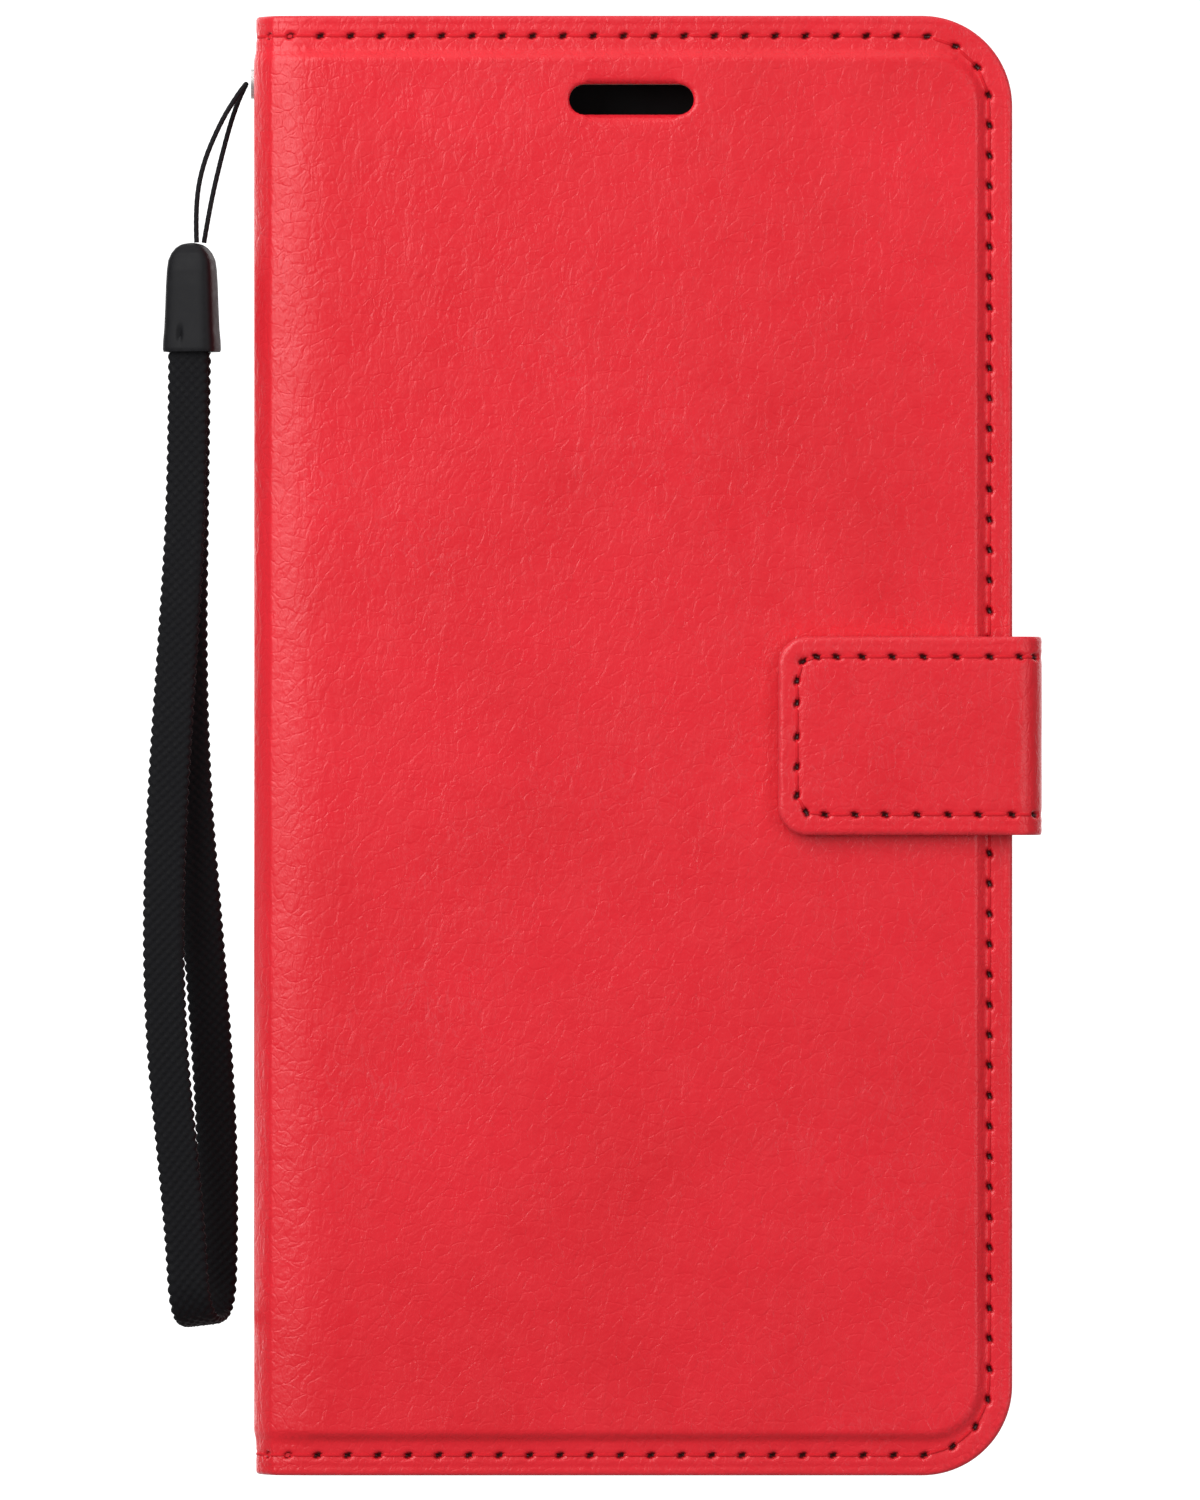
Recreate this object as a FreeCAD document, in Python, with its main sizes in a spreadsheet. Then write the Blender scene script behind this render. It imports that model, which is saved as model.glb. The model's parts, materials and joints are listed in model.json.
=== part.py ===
"""Phone wallet case with a magnetic clasp and a wrist lanyard, standing upright, front cover towards -Y.

The origin is the middle of the bottom edge. X runs from the spine to the clasp, Z from bottom to top.
"""
import FreeCAD, Part
import math
import os
import re
import Sketcher

SIZES = {
    # Case envelope: outer leather faces, and the folds between covers and spine.
    "spine_face": -44.35, "cover_edge": 41.45, "case_height": 165.0,
    "front_face": -6.5, "rear_face": 8.9, "crease_radius": 4.0, "crease_gap": 0.5,
    "corner_radius": 10.25, "leather": 0.9, "margin": 3.9,
    # Layers of the two covers, and of the spine.
    "front_relief": 0.8, "rear_relief": 0.7, "front_lining": 0.5, "rear_lining": 0.4, "spine_lining": 0.5,
    "board_inset": 5.0, "board_corner": 5.0,
    # Sound slot in the front cover.
    "slot_centre": -1.6, "slot_height": 155.5, "slot_length": 14.1, "slot_width": 3.5,
    # Pockets inside the front cover.
    "pocket_sheet": 0.25, "pocket_left": -36.0, "pocket_right": 37.0, "pocket_low": 6.0,
    "bill_top": 148.0, "card_top": 128.0, "card_step": 19.0,
    "window_width": 44.0, "window_height": 34.0,
    # Phone shell: a moulded tray that is open to the front.
    "shell_left": -41.1, "shell_width": 79.0, "shell_low": 2.9, "shell_height": 159.2,
    "shell_depth": 9.8, "shell_wall": 1.2, "shell_floor": 1.0, "shell_corner": 10.0,
    "camera_left": 9.0, "camera_width": 24.0, "camera_low": 114.0, "camera_height": 38.0, "camera_corner": 6.0,
    "port_width": 13.0, "port_height": 5.0, "speaker_width": 14.0, "speaker_shift": 22.0,
    "pad_thickness": 0.2, "pad_width": 60.0, "pad_low": 15.0, "pad_height": 92.0,
    # Clasp: side strap, tab and magnets.
    "clasp_face": 44.75, "clasp_front": -8.9, "clasp_rear": 8.3, "clasp_low": 72.4, "clasp_width": 22.4,
    "clasp_radius": 2.8, "strap_thickness": 1.4, "tab_end": 14.95, "tab_corner": 3.2,
    "tab_skin": 1.5, "tab_lining": 0.65, "clasp_gap": 0.45,
    "root_depth": 7.0, "root_thickness": 0.8, "magnet_radius": 4.0, "magnet_thickness": 0.8,
    "magnet_spread": 10.0, "magnet_place": 28.0, "plate_width": 14.0, "plate_height": 20.0,
    # Lanyard eyelet, in the middle of the spine.
    "eyelet_height": 157.6, "eyelet_depth": 1.2, "bore_radius": 1.0, "barrel_radius": 1.3,
    "flange_radius": 1.8, "flange_outer": 0.4, "flange_inner": 0.3, "knot_radius": 1.2, "knot_place": -41.2,
    "stub_radius": 0.55, "stub_end": -44.6,
    # Lanyard: cord, end cap and webbing.
    "cord_diameter": 0.6, "cap_low": 127.2, "cap_height": 12.4, "cap_width": 5.9, "cap_depth": 4.6,
    "cap_centre": -51.5, "cap_turn": -16.0, "cap_fillet": 1.9, "webbing_width": 4.6, "webbing_thickness": 1.1,
    # Stitching.
    "thread_radius": 0.3, "stitch_length": 2.3, "stitch_pitch": 3.4, "stitch_inset": 2.5, "tab_inset": 2.3,
}

doc = FreeCAD.newDocument("phone_wallet_case")
sheet = doc.addObject("Spreadsheet::Sheet", "Sizes")
for row, (alias, number) in enumerate(SIZES.items(), start=1):
    sheet.set(f"A{row}", alias)
    sheet.set(f"B{row}", str(number))
    sheet.setAlias(f"B{row}", alias)
doc.recompute()

WORDS = re.compile(r"\b(" + "|".join(SIZES) + r")\b")
parts = {}


def bind(formula):
    """Turn a formula of size names into an expression that reads the spreadsheet."""
    return WORDS.sub(r"Sizes.\1", formula)


def size(alias):
    return float(sheet.get(alias))


# ---- Builders for plates: a Body with sketches on its own origin planes ----

def new_body(name):
    body = doc.addObject("PartDesign::Body", name)
    body.Label = name
    parts[name] = body
    return body


def rectangle(body, name, plane, level, left, right, low, high):
    """A fully constrained rectangle; level is the plane's place along the row's Y (XZ) or Z (XY)."""
    sketch = body.newObject("Sketcher::SketchObject", name)
    origin = [item for item in body.Origin.OriginFeatures if item.Role == plane][0]
    sketch.AttachmentSupport = [(origin, "")]
    sketch.MapMode = "FlatFace"
    sign = "-" if plane == "XZ_Plane" else ""
    sketch.setExpression("AttachmentOffset.Base.z", f"{sign}({bind(level)})")
    corners = [(0, 0), (1, 0), (1, 1), (0, 1)]
    for start, end in zip(corners, corners[1:] + corners[:1]):
        sketch.addGeometry(Part.LineSegment(FreeCAD.Vector(*start, 0), FreeCAD.Vector(*end, 0)), False)
    for line in range(4):
        sketch.addConstraint(Sketcher.Constraint("Coincident", line, 2, (line + 1) % 4, 1))
        sketch.addConstraint(Sketcher.Constraint("Vertical" if line % 2 else "Horizontal", line))
    for kind, line, formula in (("DistanceX", 0, left), ("DistanceX", 2, right),
                                ("DistanceY", 0, low), ("DistanceY", 2, high)):
        index = sketch.addConstraint(Sketcher.Constraint(kind, -1, 1, line, 1, 0.5))
        sketch.setExpression(f"Constraints[{index}]", bind(formula))
    return sketch


def pad(body, name, sketch, length, towards_rear=True):
    """Extrude towards +Y from an XZ sketch, or upwards from an XY one."""
    feature = body.newObject("PartDesign::Pad", name)
    feature.Profile = sketch
    feature.Reversed = towards_rear
    feature.setExpression("Length", bind(length))
    return check(feature)


def pocket(body, name, sketch, length):
    """Cut towards +Y from an XZ sketch."""
    before = body.Shape.Volume
    feature = body.newObject("PartDesign::Pocket", name)
    feature.Profile = sketch
    feature.Reversed = False
    feature.setExpression("Length", bind(length))
    doc.recompute()
    if body.Shape.Volume >= before:
        raise RuntimeError(f"{body.Label}: pocket {name} cuts nothing")
    return feature


def edges_along_y(shape, chosen):
    """Names of the edges along Y whose (x, z) place passes the test."""
    names = []
    for number, edge in enumerate(shape.Edges, start=1):
        box = edge.BoundBox
        if box.YLength > 0.05 and box.XLength < 1e-6 and box.ZLength < 1e-6:
            if chosen(box.XMin, box.ZMin):
                names.append(f"Edge{number}")
    return names


def round_edges(body, name, names, radius):
    base = body.Tip
    feature = body.newObject("PartDesign::Fillet", name)
    feature.Base = (base, names)
    feature.setExpression("Radius", bind(radius))
    return check(feature)


def check(feature):
    """Stop at a feature that did not compute."""
    doc.recompute()
    if "Invalid" in feature.State or "Error" in feature.State or feature.Shape.isNull():
        raise RuntimeError(f"{feature.Label}: {feature.getStatusString()}")
    return feature


def near(value, target):
    return abs(value - target) < 0.01


def plate(name, front, thickness, left, right, low, high, radius=None, rounded="right"):
    """A flat sheet of leather, board or lining, with rounded corners on one side or on all four."""
    body = new_body(name)
    outline = rectangle(body, name + "_outline", "XZ_Plane", front, left, right, low, high)
    pad(body, name + "_sheet", outline, thickness)
    if radius:
        box = body.Shape.BoundBox
        place = {"right": lambda x, z: near(x, box.XMax), "left": lambda x, z: near(x, box.XMin),
                 "all": lambda x, z: True}[rounded]
        round_edges(body, name + "_corners", edges_along_y(body.Shape, place), radius)
    return body


def window(body, name, front, depth, left, right, low, high, radius=None):
    """A rectangular hole or recess, with round corners if a radius is given."""
    outline = rectangle(body, name + "_outline", "XZ_Plane", front, left, right, low, high)
    pocket(body, name, outline, depth)
    if radius:
        limits = [outline.Shape.BoundBox.XMin, outline.Shape.BoundBox.XMax,
                  outline.Shape.BoundBox.ZMin, outline.Shape.BoundBox.ZMax]
        names = edges_along_y(body.Shape, lambda x, z: (near(x, limits[0]) or near(x, limits[1]))
                              and (near(z, limits[2]) or near(z, limits[3])))
        round_edges(body, name + "_corners", names, radius)


def slot_hole(body, name, front, depth):
    window(body, name, front, depth, "slot_centre - slot_length / 2", "slot_centre + slot_length / 2",
           "slot_height - slot_width / 2", "slot_height + slot_width / 2", "slot_width / 2 - 0.01")


def camera_hole(body, name, front, depth):
    window(body, name, front, depth, "camera_left", "camera_left + camera_width",
           "camera_low", "camera_low + camera_height", "camera_corner")


PANEL_LEFT = "spine_face + crease_radius + crease_gap"


def embossed_skin(name, margin_front, relief_front, relief, recess_front, recess_depth):
    """Cover leather: a thin margin, a raised panel with a bevelled edge, and a recess for the board."""
    body = plate(name, margin_front, "leather", PANEL_LEFT, "cover_edge", "0", "case_height", "corner_radius")
    raised = rectangle(body, name + "_panel_outline", "XZ_Plane", relief_front, PANEL_LEFT,
                       "cover_edge - margin", "margin", "case_height - margin")
    pad(body, name + "_panel", raised, relief)
    outer = size("cover_edge") - size("margin")
    corners = edges_along_y(body.Shape, lambda x, z: near(x, outer))
    round_edges(body, name + "_panel_corners", corners, "corner_radius - margin")
    window(body, name + "_recess", recess_front, recess_depth, PANEL_LEFT + " + 1", "cover_edge - board_inset",
           "board_inset", "case_height - board_inset", "board_corner")
    return body


# ---- Front cover ----

embossed_skin("front_skin", "front_face + front_relief", "front_face", "front_relief",
              "front_face + leather", "front_relief")
slot_hole(parts["front_skin"], "front_skin_slot", "front_face", "front_relief + leather")

BOARD = (PANEL_LEFT + " + 1", "cover_edge - board_inset", "board_inset", "case_height - board_inset")
plate("front_board", "front_face + leather", "front_relief", *BOARD, "board_corner", "all")
slot_hole(parts["front_board"], "front_board_slot", "front_face + leather", "front_relief")
window(parts["front_board"], "front_board_plate_seat", "front_face + leather", "front_relief",
       "magnet_place - plate_width / 2", "magnet_place + plate_width / 2",
       "clasp_low + clasp_width / 2 - plate_height / 2", "clasp_low + clasp_width / 2 + plate_height / 2", "1.5")
plate("closure_plate", "front_face + leather", "front_relief",
      "magnet_place - plate_width / 2", "magnet_place + plate_width / 2",
      "clasp_low + clasp_width / 2 - plate_height / 2", "clasp_low + clasp_width / 2 + plate_height / 2",
      "1.5", "all")

FRONT_LINING = "front_face + front_relief + leather"
plate("front_lining", FRONT_LINING, "front_lining", PANEL_LEFT, "cover_edge", "0", "case_height", "corner_radius")
slot_hole(parts["front_lining"], "front_lining_slot", FRONT_LINING, "front_lining")

POCKET_FACE = FRONT_LINING + " + front_lining"
plate("bill_pocket", POCKET_FACE, "pocket_sheet", "pocket_left", "pocket_right", "pocket_low", "bill_top",
      "2", "all")
for number in (1, 2, 3):
    plate(f"card_pocket_{number}", f"{POCKET_FACE} + {number} * pocket_sheet", "pocket_sheet",
          "pocket_left", "pocket_right", "pocket_low", f"card_top - {number - 1} * card_step", "2", "all")
window(parts["card_pocket_3"], "card_window", f"{POCKET_FACE} + 3 * pocket_sheet", "pocket_sheet",
       "(pocket_left + pocket_right) / 2 - window_width / 2",
       "(pocket_left + pocket_right) / 2 + window_width / 2",
       "pocket_low + 20", "pocket_low + 20 + window_height", "3")

# ---- Rear cover ----

embossed_skin("rear_skin", "rear_face - rear_relief - leather", "rear_face - rear_relief", "rear_relief",
              "rear_face - rear_relief - leather", "rear_relief")
REAR_INNER = "rear_face - rear_relief - leather"
plate("rear_board", REAR_INNER, "rear_relief", *BOARD, "board_corner", "all")
plate("rear_lining", REAR_INNER + " - rear_lining", "rear_lining", PANEL_LEFT, "cover_edge", "0", "case_height",
      "corner_radius")
for node, front in (("rear_skin", REAR_INNER), ("rear_board", REAR_INNER),
                    ("rear_lining", REAR_INNER + " - rear_lining")):
    camera_hole(parts[node], node + "_camera", front, "rear_relief + leather + rear_lining")

ROOT = ("cover_edge - root_depth", "cover_edge", "clasp_low", "clasp_low + clasp_width")
window(parts["rear_lining"], "clasp_notch", REAR_INNER + " - rear_lining", "rear_lining", *ROOT)
window(parts["rear_skin"], "clasp_seat", REAR_INNER, "root_thickness - rear_lining", *ROOT)
window(parts["rear_board"], "clasp_clearance", REAR_INNER, "root_thickness - rear_lining", *ROOT)
plate("clasp_root", REAR_INNER + " - rear_lining", "root_thickness", *ROOT)

SHELL_FRONT = "rear_face - rear_relief - leather - rear_lining - pad_thickness - shell_depth"
SHELL = ("shell_left", "shell_left + shell_width", "shell_low", "shell_low + shell_height")
shell = plate("phone_shell", SHELL_FRONT, "shell_depth", *SHELL)
window(shell, "phone_cavity", SHELL_FRONT, "shell_depth - shell_floor",
       "shell_left + shell_wall", "shell_left + shell_width - shell_wall",
       "shell_low + shell_wall", "shell_low + shell_height - shell_wall", "shell_corner - shell_wall")
sides = (size("shell_left"), size("shell_left") + size("shell_width"))
round_edges(shell, "phone_shell_corners",
            edges_along_y(shell.Shape, lambda x, z: near(x, sides[0]) or near(x, sides[1])), "shell_corner")
camera_hole(shell, "shell_camera", SHELL_FRONT, "shell_depth")
for name, shift, wide in (("port", "0", "port_width"), ("speaker_left", "-speaker_shift", "speaker_width"),
                          ("speaker_right", "speaker_shift", "speaker_width")):
    middle = f"shell_left + shell_width / 2 + {shift}"
    window(shell, name, SHELL_FRONT + " + 2", "port_height", f"{middle} - {wide} / 2", f"{middle} + {wide} / 2",
           "shell_low - 1", "shell_low + shell_wall + 0.5")
plate("shell_adhesive", "rear_face - rear_relief - leather - rear_lining - pad_thickness", "pad_thickness",
      "-pad_width / 2", "pad_width / 2", "pad_low", "pad_low + pad_height", "4", "all")

# ---- Spine and clasp strap: quarter bends joined by a flat, made from primitives ----

def primitive(kind, name, **formulas):
    item = doc.addObject(kind, name)
    for prop, formula in formulas.items():
        item.setExpression(prop.replace("_", "."), bind(formula))
    return item


def block(name, x, y, z, wide, deep, tall):
    return primitive("Part::Box", name, Placement_Base_x=x, Placement_Base_y=y, Placement_Base_z=z,
                     Length=wide, Width=deep, Height=tall)


def boolean(kind, name, base, tool):
    item = doc.addObject(kind, name)
    item.Base = base
    item.Tool = tool
    return item


def quarter_bend(name, x, y, low, tall, radius, thickness, turn):
    """A quarter of a tube about (x, y); turn is the angle where it starts."""
    pieces = []
    for suffix, r in (("_outer", radius), ("_inner", f"{radius} - {thickness}")):
        item = primitive("Part::Cylinder", name + suffix, Placement_Base_x=x, Placement_Base_y=y,
                         Placement_Base_z=low, Radius=r, Height=tall)
        item.Angle = 90
        item.Placement.Rotation = FreeCAD.Rotation(FreeCAD.Vector(0, 0, 1), turn)
        pieces.append(item)
    return boolean("Part::Cut", name, *pieces)


def fuse(name, *items):
    joined = doc.addObject("Part::MultiFuse", name)
    joined.Shapes = list(items)
    joined.Refine = True
    return joined


def eyelet_cylinder(name, start, length, radius):
    """A cylinder along X on the eyelet's axis."""
    item = primitive("Part::Cylinder", name, Placement_Base_x=start, Placement_Base_y="eyelet_depth",
                     Placement_Base_z="eyelet_height", Radius=radius, Height=length)
    item.Placement.Rotation = FreeCAD.Rotation(FreeCAD.Vector(0, 1, 0), 90)
    return item


def named(name, item):
    item.Label = name
    parts[name] = item
    return item


# The front fold turns with the spine, and the rear fold stays on the rear cover.
FOLD_CENTRE = "spine_face + crease_radius"
SPINE_DEPTH = "rear_face - front_face - 2 * crease_radius - crease_gap"
front_bend = quarter_bend("front_bend", FOLD_CENTRE, "front_face + crease_radius", "0", "case_height",
                          "crease_radius", "leather", 180)
rear_bend = quarter_bend("rear_bend", FOLD_CENTRE, "rear_face - crease_radius", "0", "case_height",
                         "crease_radius", "leather", 90)
spine_wall = block("spine_wall", "spine_face", "front_face + crease_radius", "0", "leather", SPINE_DEPTH,
                   "case_height")
spine = fuse("spine_blank", front_bend, spine_wall)
named("rear_fold", rear_bend)
spine_hole = eyelet_cylinder("spine_hole", "spine_face - 1", "leather + spine_lining + 2", "barrel_radius")
named("spine_skin", boolean("Part::Cut", "spine_leather", spine, spine_hole))

lining_sheet = block("spine_lining_sheet", "spine_face + leather", "front_face + crease_radius", "0",
                     "spine_lining",
                     SPINE_DEPTH, "case_height")
lining_hole = eyelet_cylinder("lining_hole", "spine_face", "leather + spine_lining + 1", "barrel_radius")
named("spine_lining", boolean("Part::Cut", "spine_inner", lining_sheet, lining_hole))

STACK = "leather + spine_lining"
barrel = eyelet_cylinder("eyelet_barrel", "spine_face - flange_outer", f"{STACK} + flange_outer + flange_inner",
                         "barrel_radius")
outer_flange = eyelet_cylinder("eyelet_outer_flange", "spine_face - flange_outer", "flange_outer",
                                "flange_radius")
inner_flange = eyelet_cylinder("eyelet_inner_flange", f"spine_face + {STACK}", "flange_inner", "flange_radius")
flanges = fuse("eyelet_blank", barrel, outer_flange, inner_flange)
bore = eyelet_cylinder("eyelet_bore", "spine_face - 2", f"{STACK} + 4", "bore_radius")
named("lanyard_eyelet", boolean("Part::Cut", "eyelet", flanges, bore))

knot_ball = primitive("Part::Sphere", "knot_ball", Placement_Base_x="knot_place",
                      Placement_Base_y="eyelet_depth",
                      Placement_Base_z="eyelet_height", Radius="knot_radius")
knot_stub = eyelet_cylinder("knot_stub", "stub_end", "knot_place - stub_end", "stub_radius")
named("lanyard_knot", boolean("Part::Fuse", "knot", knot_ball, knot_stub))

STRAP_CENTRE = "clasp_face - clasp_radius"
tab_bend = quarter_bend("tab_bend", STRAP_CENTRE, "clasp_front + clasp_radius", "clasp_low", "clasp_width",
                        "clasp_radius", "strap_thickness", 270)
root_bend = quarter_bend("root_bend", STRAP_CENTRE, "clasp_rear - clasp_radius", "clasp_low", "clasp_width",
                         "clasp_radius", "strap_thickness", 0)
strap_wall = block("strap_wall", "clasp_face - strap_thickness", "clasp_front + clasp_radius", "clasp_low",
                   "strap_thickness", "clasp_rear - clasp_front - 2 * clasp_radius", "clasp_width")
named("clasp_side", fuse("clasp_strap", tab_bend, strap_wall, root_bend))

TAB_RIGHT = "clasp_face - clasp_radius - clasp_gap"
TAB = ("tab_end", TAB_RIGHT, "clasp_low", "clasp_low + clasp_width")
tab = plate("tab_skin", "clasp_front", "tab_skin", *TAB, "tab_corner", "left")
plate("tab_lining", "clasp_front + tab_skin", "tab_lining", *TAB, "tab_corner", "left")
doc.recompute()
for name, side in (("magnet_lower", "-"), ("magnet_upper", "+")):
    centre = f"clasp_low + clasp_width / 2 {side} magnet_spread / 2"
    window(tab, name + "_seat", "clasp_front + tab_skin - magnet_thickness", "magnet_thickness",
           "magnet_place - magnet_radius", "magnet_place + magnet_radius",
           f"{centre} - magnet_radius", f"{centre} + magnet_radius", "magnet_radius - 0.01")
    plate(name, "clasp_front + tab_skin - magnet_thickness", "magnet_thickness",
          "magnet_place - magnet_radius", "magnet_place + magnet_radius",
          f"{centre} - magnet_radius", f"{centre} + magnet_radius", "magnet_radius - 0.01", "all")

# ---- Lanyard: end cap, cord loop and webbing loop ----

cap = new_body("lanyard_cap")
cap_outline = rectangle(cap, "cap_outline", "XY_Plane", "0", "-cap_width / 2", "cap_width / 2",
                        "-cap_depth / 2", "cap_depth / 2")
pad(cap, "cap_block", cap_outline, "cap_height", towards_rear=False)
top_edges = []
for number, edge in enumerate(cap.Shape.Edges, start=1):
    if edge.BoundBox.ZMin > 0.01:
        top_edges.append(f"Edge{number}")
round_edges(cap, "cap_rounding", top_edges, "cap_fillet")
cap.Placement.Rotation = FreeCAD.Rotation(FreeCAD.Vector(0, 0, 1), size("cap_turn"))
for axis, formula in (("x", "cap_centre"), ("y", "eyelet_depth"), ("z", "cap_low")):
    cap.setExpression("Placement.Base." + axis, bind(formula))

# Route points: x, distance from the lanyard's middle plane along Y, and z.
CORD_ROUTE = [
    (-50.95, -0.50, 139.6), (-51.10, -0.60, 143.6), (-50.30, -0.70, 148.4), (-48.20, -0.75, 153.3),
    (-46.40, -0.72, 156.2), (-45.35, -0.70, 157.6), (-45.35, 0.70, 157.6), (-46.20, 0.72, 155.9),
    (-47.20, 0.70, 153.0), (-48.40, 0.62, 148.4), (-49.45, 0.55, 143.8), (-50.15, 0.50, 139.6),
]
WEBBING_ROUTE = [
    (-51.85, -1.0, 127.2), (-51.95, -1.1, 112.0), (-52.90, -1.6, 96.0), (-54.00, -2.4, 80.0),
    (-54.70, -3.3, 63.5), (-54.30, -4.2, 49.0), (-53.10, -4.7, 37.5), (-52.10, -5.0, 27.5),
    (-51.50, -5.0, 17.2), (-49.00, 5.0, 17.2), (-48.70, 5.0, 27.5), (-48.80, 4.7, 38.0),
    (-49.50, 4.0, 50.0), (-50.50, 3.1, 63.0), (-51.70, 2.2, 77.0), (-52.20, 1.5, 93.0),
    (-51.90, 1.1, 110.5), (-51.70, 1.0, 127.2),
]
ARC_SHARE = 0.45


def place_route(route):
    return [FreeCAD.Vector(x, size("eyelet_depth") + across, z) for x, across, z in route]


def rounded_path(name, points, diameter):
    """Straight runs joined by tangent arcs, each as large as its two runs allow."""
    edges = []
    start = points[0]
    for before, corner, after in zip(points, points[1:], points[2:]):
        incoming = (corner - before).normalize()
        outgoing = (after - corner).normalize()
        turn = incoming.getAngle(outgoing)
        reach = ARC_SHARE * min((corner - before).Length, (after - corner).Length)
        radius = reach / math.tan(turn / 2)
        first = corner - incoming * reach
        last = corner + outgoing * reach
        inwards = (outgoing - incoming).normalize()
        middle = corner + inwards * (radius / math.cos(turn / 2) - radius)
        edges.append(Part.LineSegment(start, first).toShape())
        edges.append(Part.Arc(first, middle, last).toShape())
        print(f"{name}: turn {math.degrees(turn):.1f}, radius {radius:.2f}, {radius / diameter:.1f} diameters")
        start = last
    edges.append(Part.LineSegment(start, points[-1]).toShape())
    return Part.Wire(edges)


def feature_part(name, shape):
    item = doc.addObject("Part::Feature", name)
    item.Shape = shape
    item.Label = name
    parts[name] = item
    return item


def sweep(name, path, profile, section, binormal=None):
    pipe = Part.BRepOffsetAPI.MakePipeShell(path)
    if binormal:
        pipe.setBiNormalMode(binormal)
    pipe.add(profile)
    pipe.build()
    pipe.makeSolid()
    solid = pipe.shape()
    print(f"{name}: length {path.Length:.1f}, volume {solid.Volume:.2f} against {section * path.Length:.2f}")
    feature_part(name, solid)


cord_points = place_route(CORD_ROUTE)
cord_path = rounded_path("lanyard_cord", cord_points, size("cord_diameter"))
cord_circle = Part.Circle(cord_points[0], cord_points[1] - cord_points[0], size("cord_diameter") / 2)
sweep("lanyard_cord", cord_path, Part.Wire([cord_circle.toShape()]), math.pi * size("cord_diameter") ** 2 / 4)

webbing_points = place_route(WEBBING_ROUTE)
webbing_path = rounded_path("lanyard_webbing", webbing_points, size("webbing_width"))
along = (webbing_points[1] - webbing_points[0]).normalize()
through = along.cross(FreeCAD.Vector(1, 0, 0)).normalize()
sideways = through.cross(along).normalize()
half_width = sideways * (size("webbing_width") / 2)
half_depth = through * (size("webbing_thickness") / 2)
band_corners = [webbing_points[0] + half_width * u + half_depth * v
                for u, v in ((-1, -1), (1, -1), (1, 1), (-1, 1))]
sweep("lanyard_webbing", webbing_path, Part.makePolygon(band_corners + band_corners[:1]),
      size("webbing_width") * size("webbing_thickness"), FreeCAD.Vector(1, 0, 0))

# ---- Stitching: short lengths of thread lying in rows on the leather ----


def rounded_row(right, low, high, corner, left, mirrored=False):
    """A row along the top, round two corners, down the side and back along the bottom."""
    straight = right - corner - left
    tall = high - low - 2 * corner
    quarter = corner * math.pi / 2
    total = 2 * straight + 2 * quarter + tall
    count = int(total / size("stitch_pitch"))
    for number in range(count + 1):
        travel = number * total / count
        if travel <= straight:
            spot = (left + travel, high, 0)
        elif travel <= straight + quarter:
            angle = (travel - straight) / corner
            spot = (right - corner + corner * math.sin(angle), high - corner + corner * math.cos(angle), -angle)
        elif travel <= straight + quarter + tall:
            spot = (right, high - corner - (travel - straight - quarter), -math.pi / 2)
        elif travel <= straight + 2 * quarter + tall:
            angle = (travel - straight - quarter - tall) / corner
            spot = (right - corner + corner * math.cos(angle), low + corner - corner * math.sin(angle),
                    -math.pi / 2 - angle)
        else:
            spot = (left + total - travel, low, -math.pi)
        yield (-spot[0], spot[1], math.pi - spot[2]) if mirrored else spot


def stitching(name, spots, level):
    threads = []
    length = size("stitch_length")
    for x, z, heading in spots:
        direction = FreeCAD.Vector(math.cos(heading), 0, math.sin(heading))
        start = FreeCAD.Vector(x, level, z) - direction * (length / 2)
        threads.append(Part.makeCylinder(size("thread_radius"), length, start, direction))
    feature_part(name, Part.makeCompound(threads))


inset = size("stitch_inset")
cover_row = dict(right=size("cover_edge") - inset, low=inset, high=size("case_height") - inset,
                 corner=size("corner_radius") - inset, left=size("spine_face") + size("crease_radius") + inset)
thread = size("thread_radius")
stitching("front_stitching", rounded_row(**cover_row), size("front_face") + size("front_relief") + thread)
stitching("rear_stitching", rounded_row(**cover_row), size("rear_face") - size("rear_relief") - thread)
inset = size("tab_inset")
tab_row = dict(right=-size("tab_end") - inset, low=size("clasp_low") + inset,
               high=size("clasp_low") + size("clasp_width") - inset, corner=size("tab_corner") - inset + 1,
               left=-(size("clasp_face") - size("clasp_radius") - size("clasp_gap") - inset), mirrored=True)
stitching("tab_stitching", rounded_row(**tab_row), size("clasp_front") + thread)

# ---- Check and write ----

doc.recompute()
for item in doc.Objects:
    if "Invalid" in item.State or "Error" in item.State:
        raise RuntimeError(f"{item.Name} failed: {item.State}")
os.makedirs("parts", exist_ok=True)
for name, item in parts.items():
    shape = item.Shape
    if shape.isNull() or not shape.isValid() or not shape.Solids:
        raise RuntimeError(f"{name} has no valid solid")
    shape.exportStep(f"parts/{name}.step")
whole = Part.makeCompound([item.Shape for item in parts.values()]).BoundBox
print(f"{len(parts)} parts, x {whole.XMin:.2f} {whole.XMax:.2f}, y {whole.YMin:.2f} {whole.YMax:.2f}, "
      f"z {whole.ZMin:.2f} {whole.ZMax:.2f}")
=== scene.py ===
"""Looks for the phone wallet case: leather, stitching, clasp strap, webbing lanyard and its cap."""
import json
import math

import bmesh
import bpy
import numpy as np
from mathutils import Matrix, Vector, geometry


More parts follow.
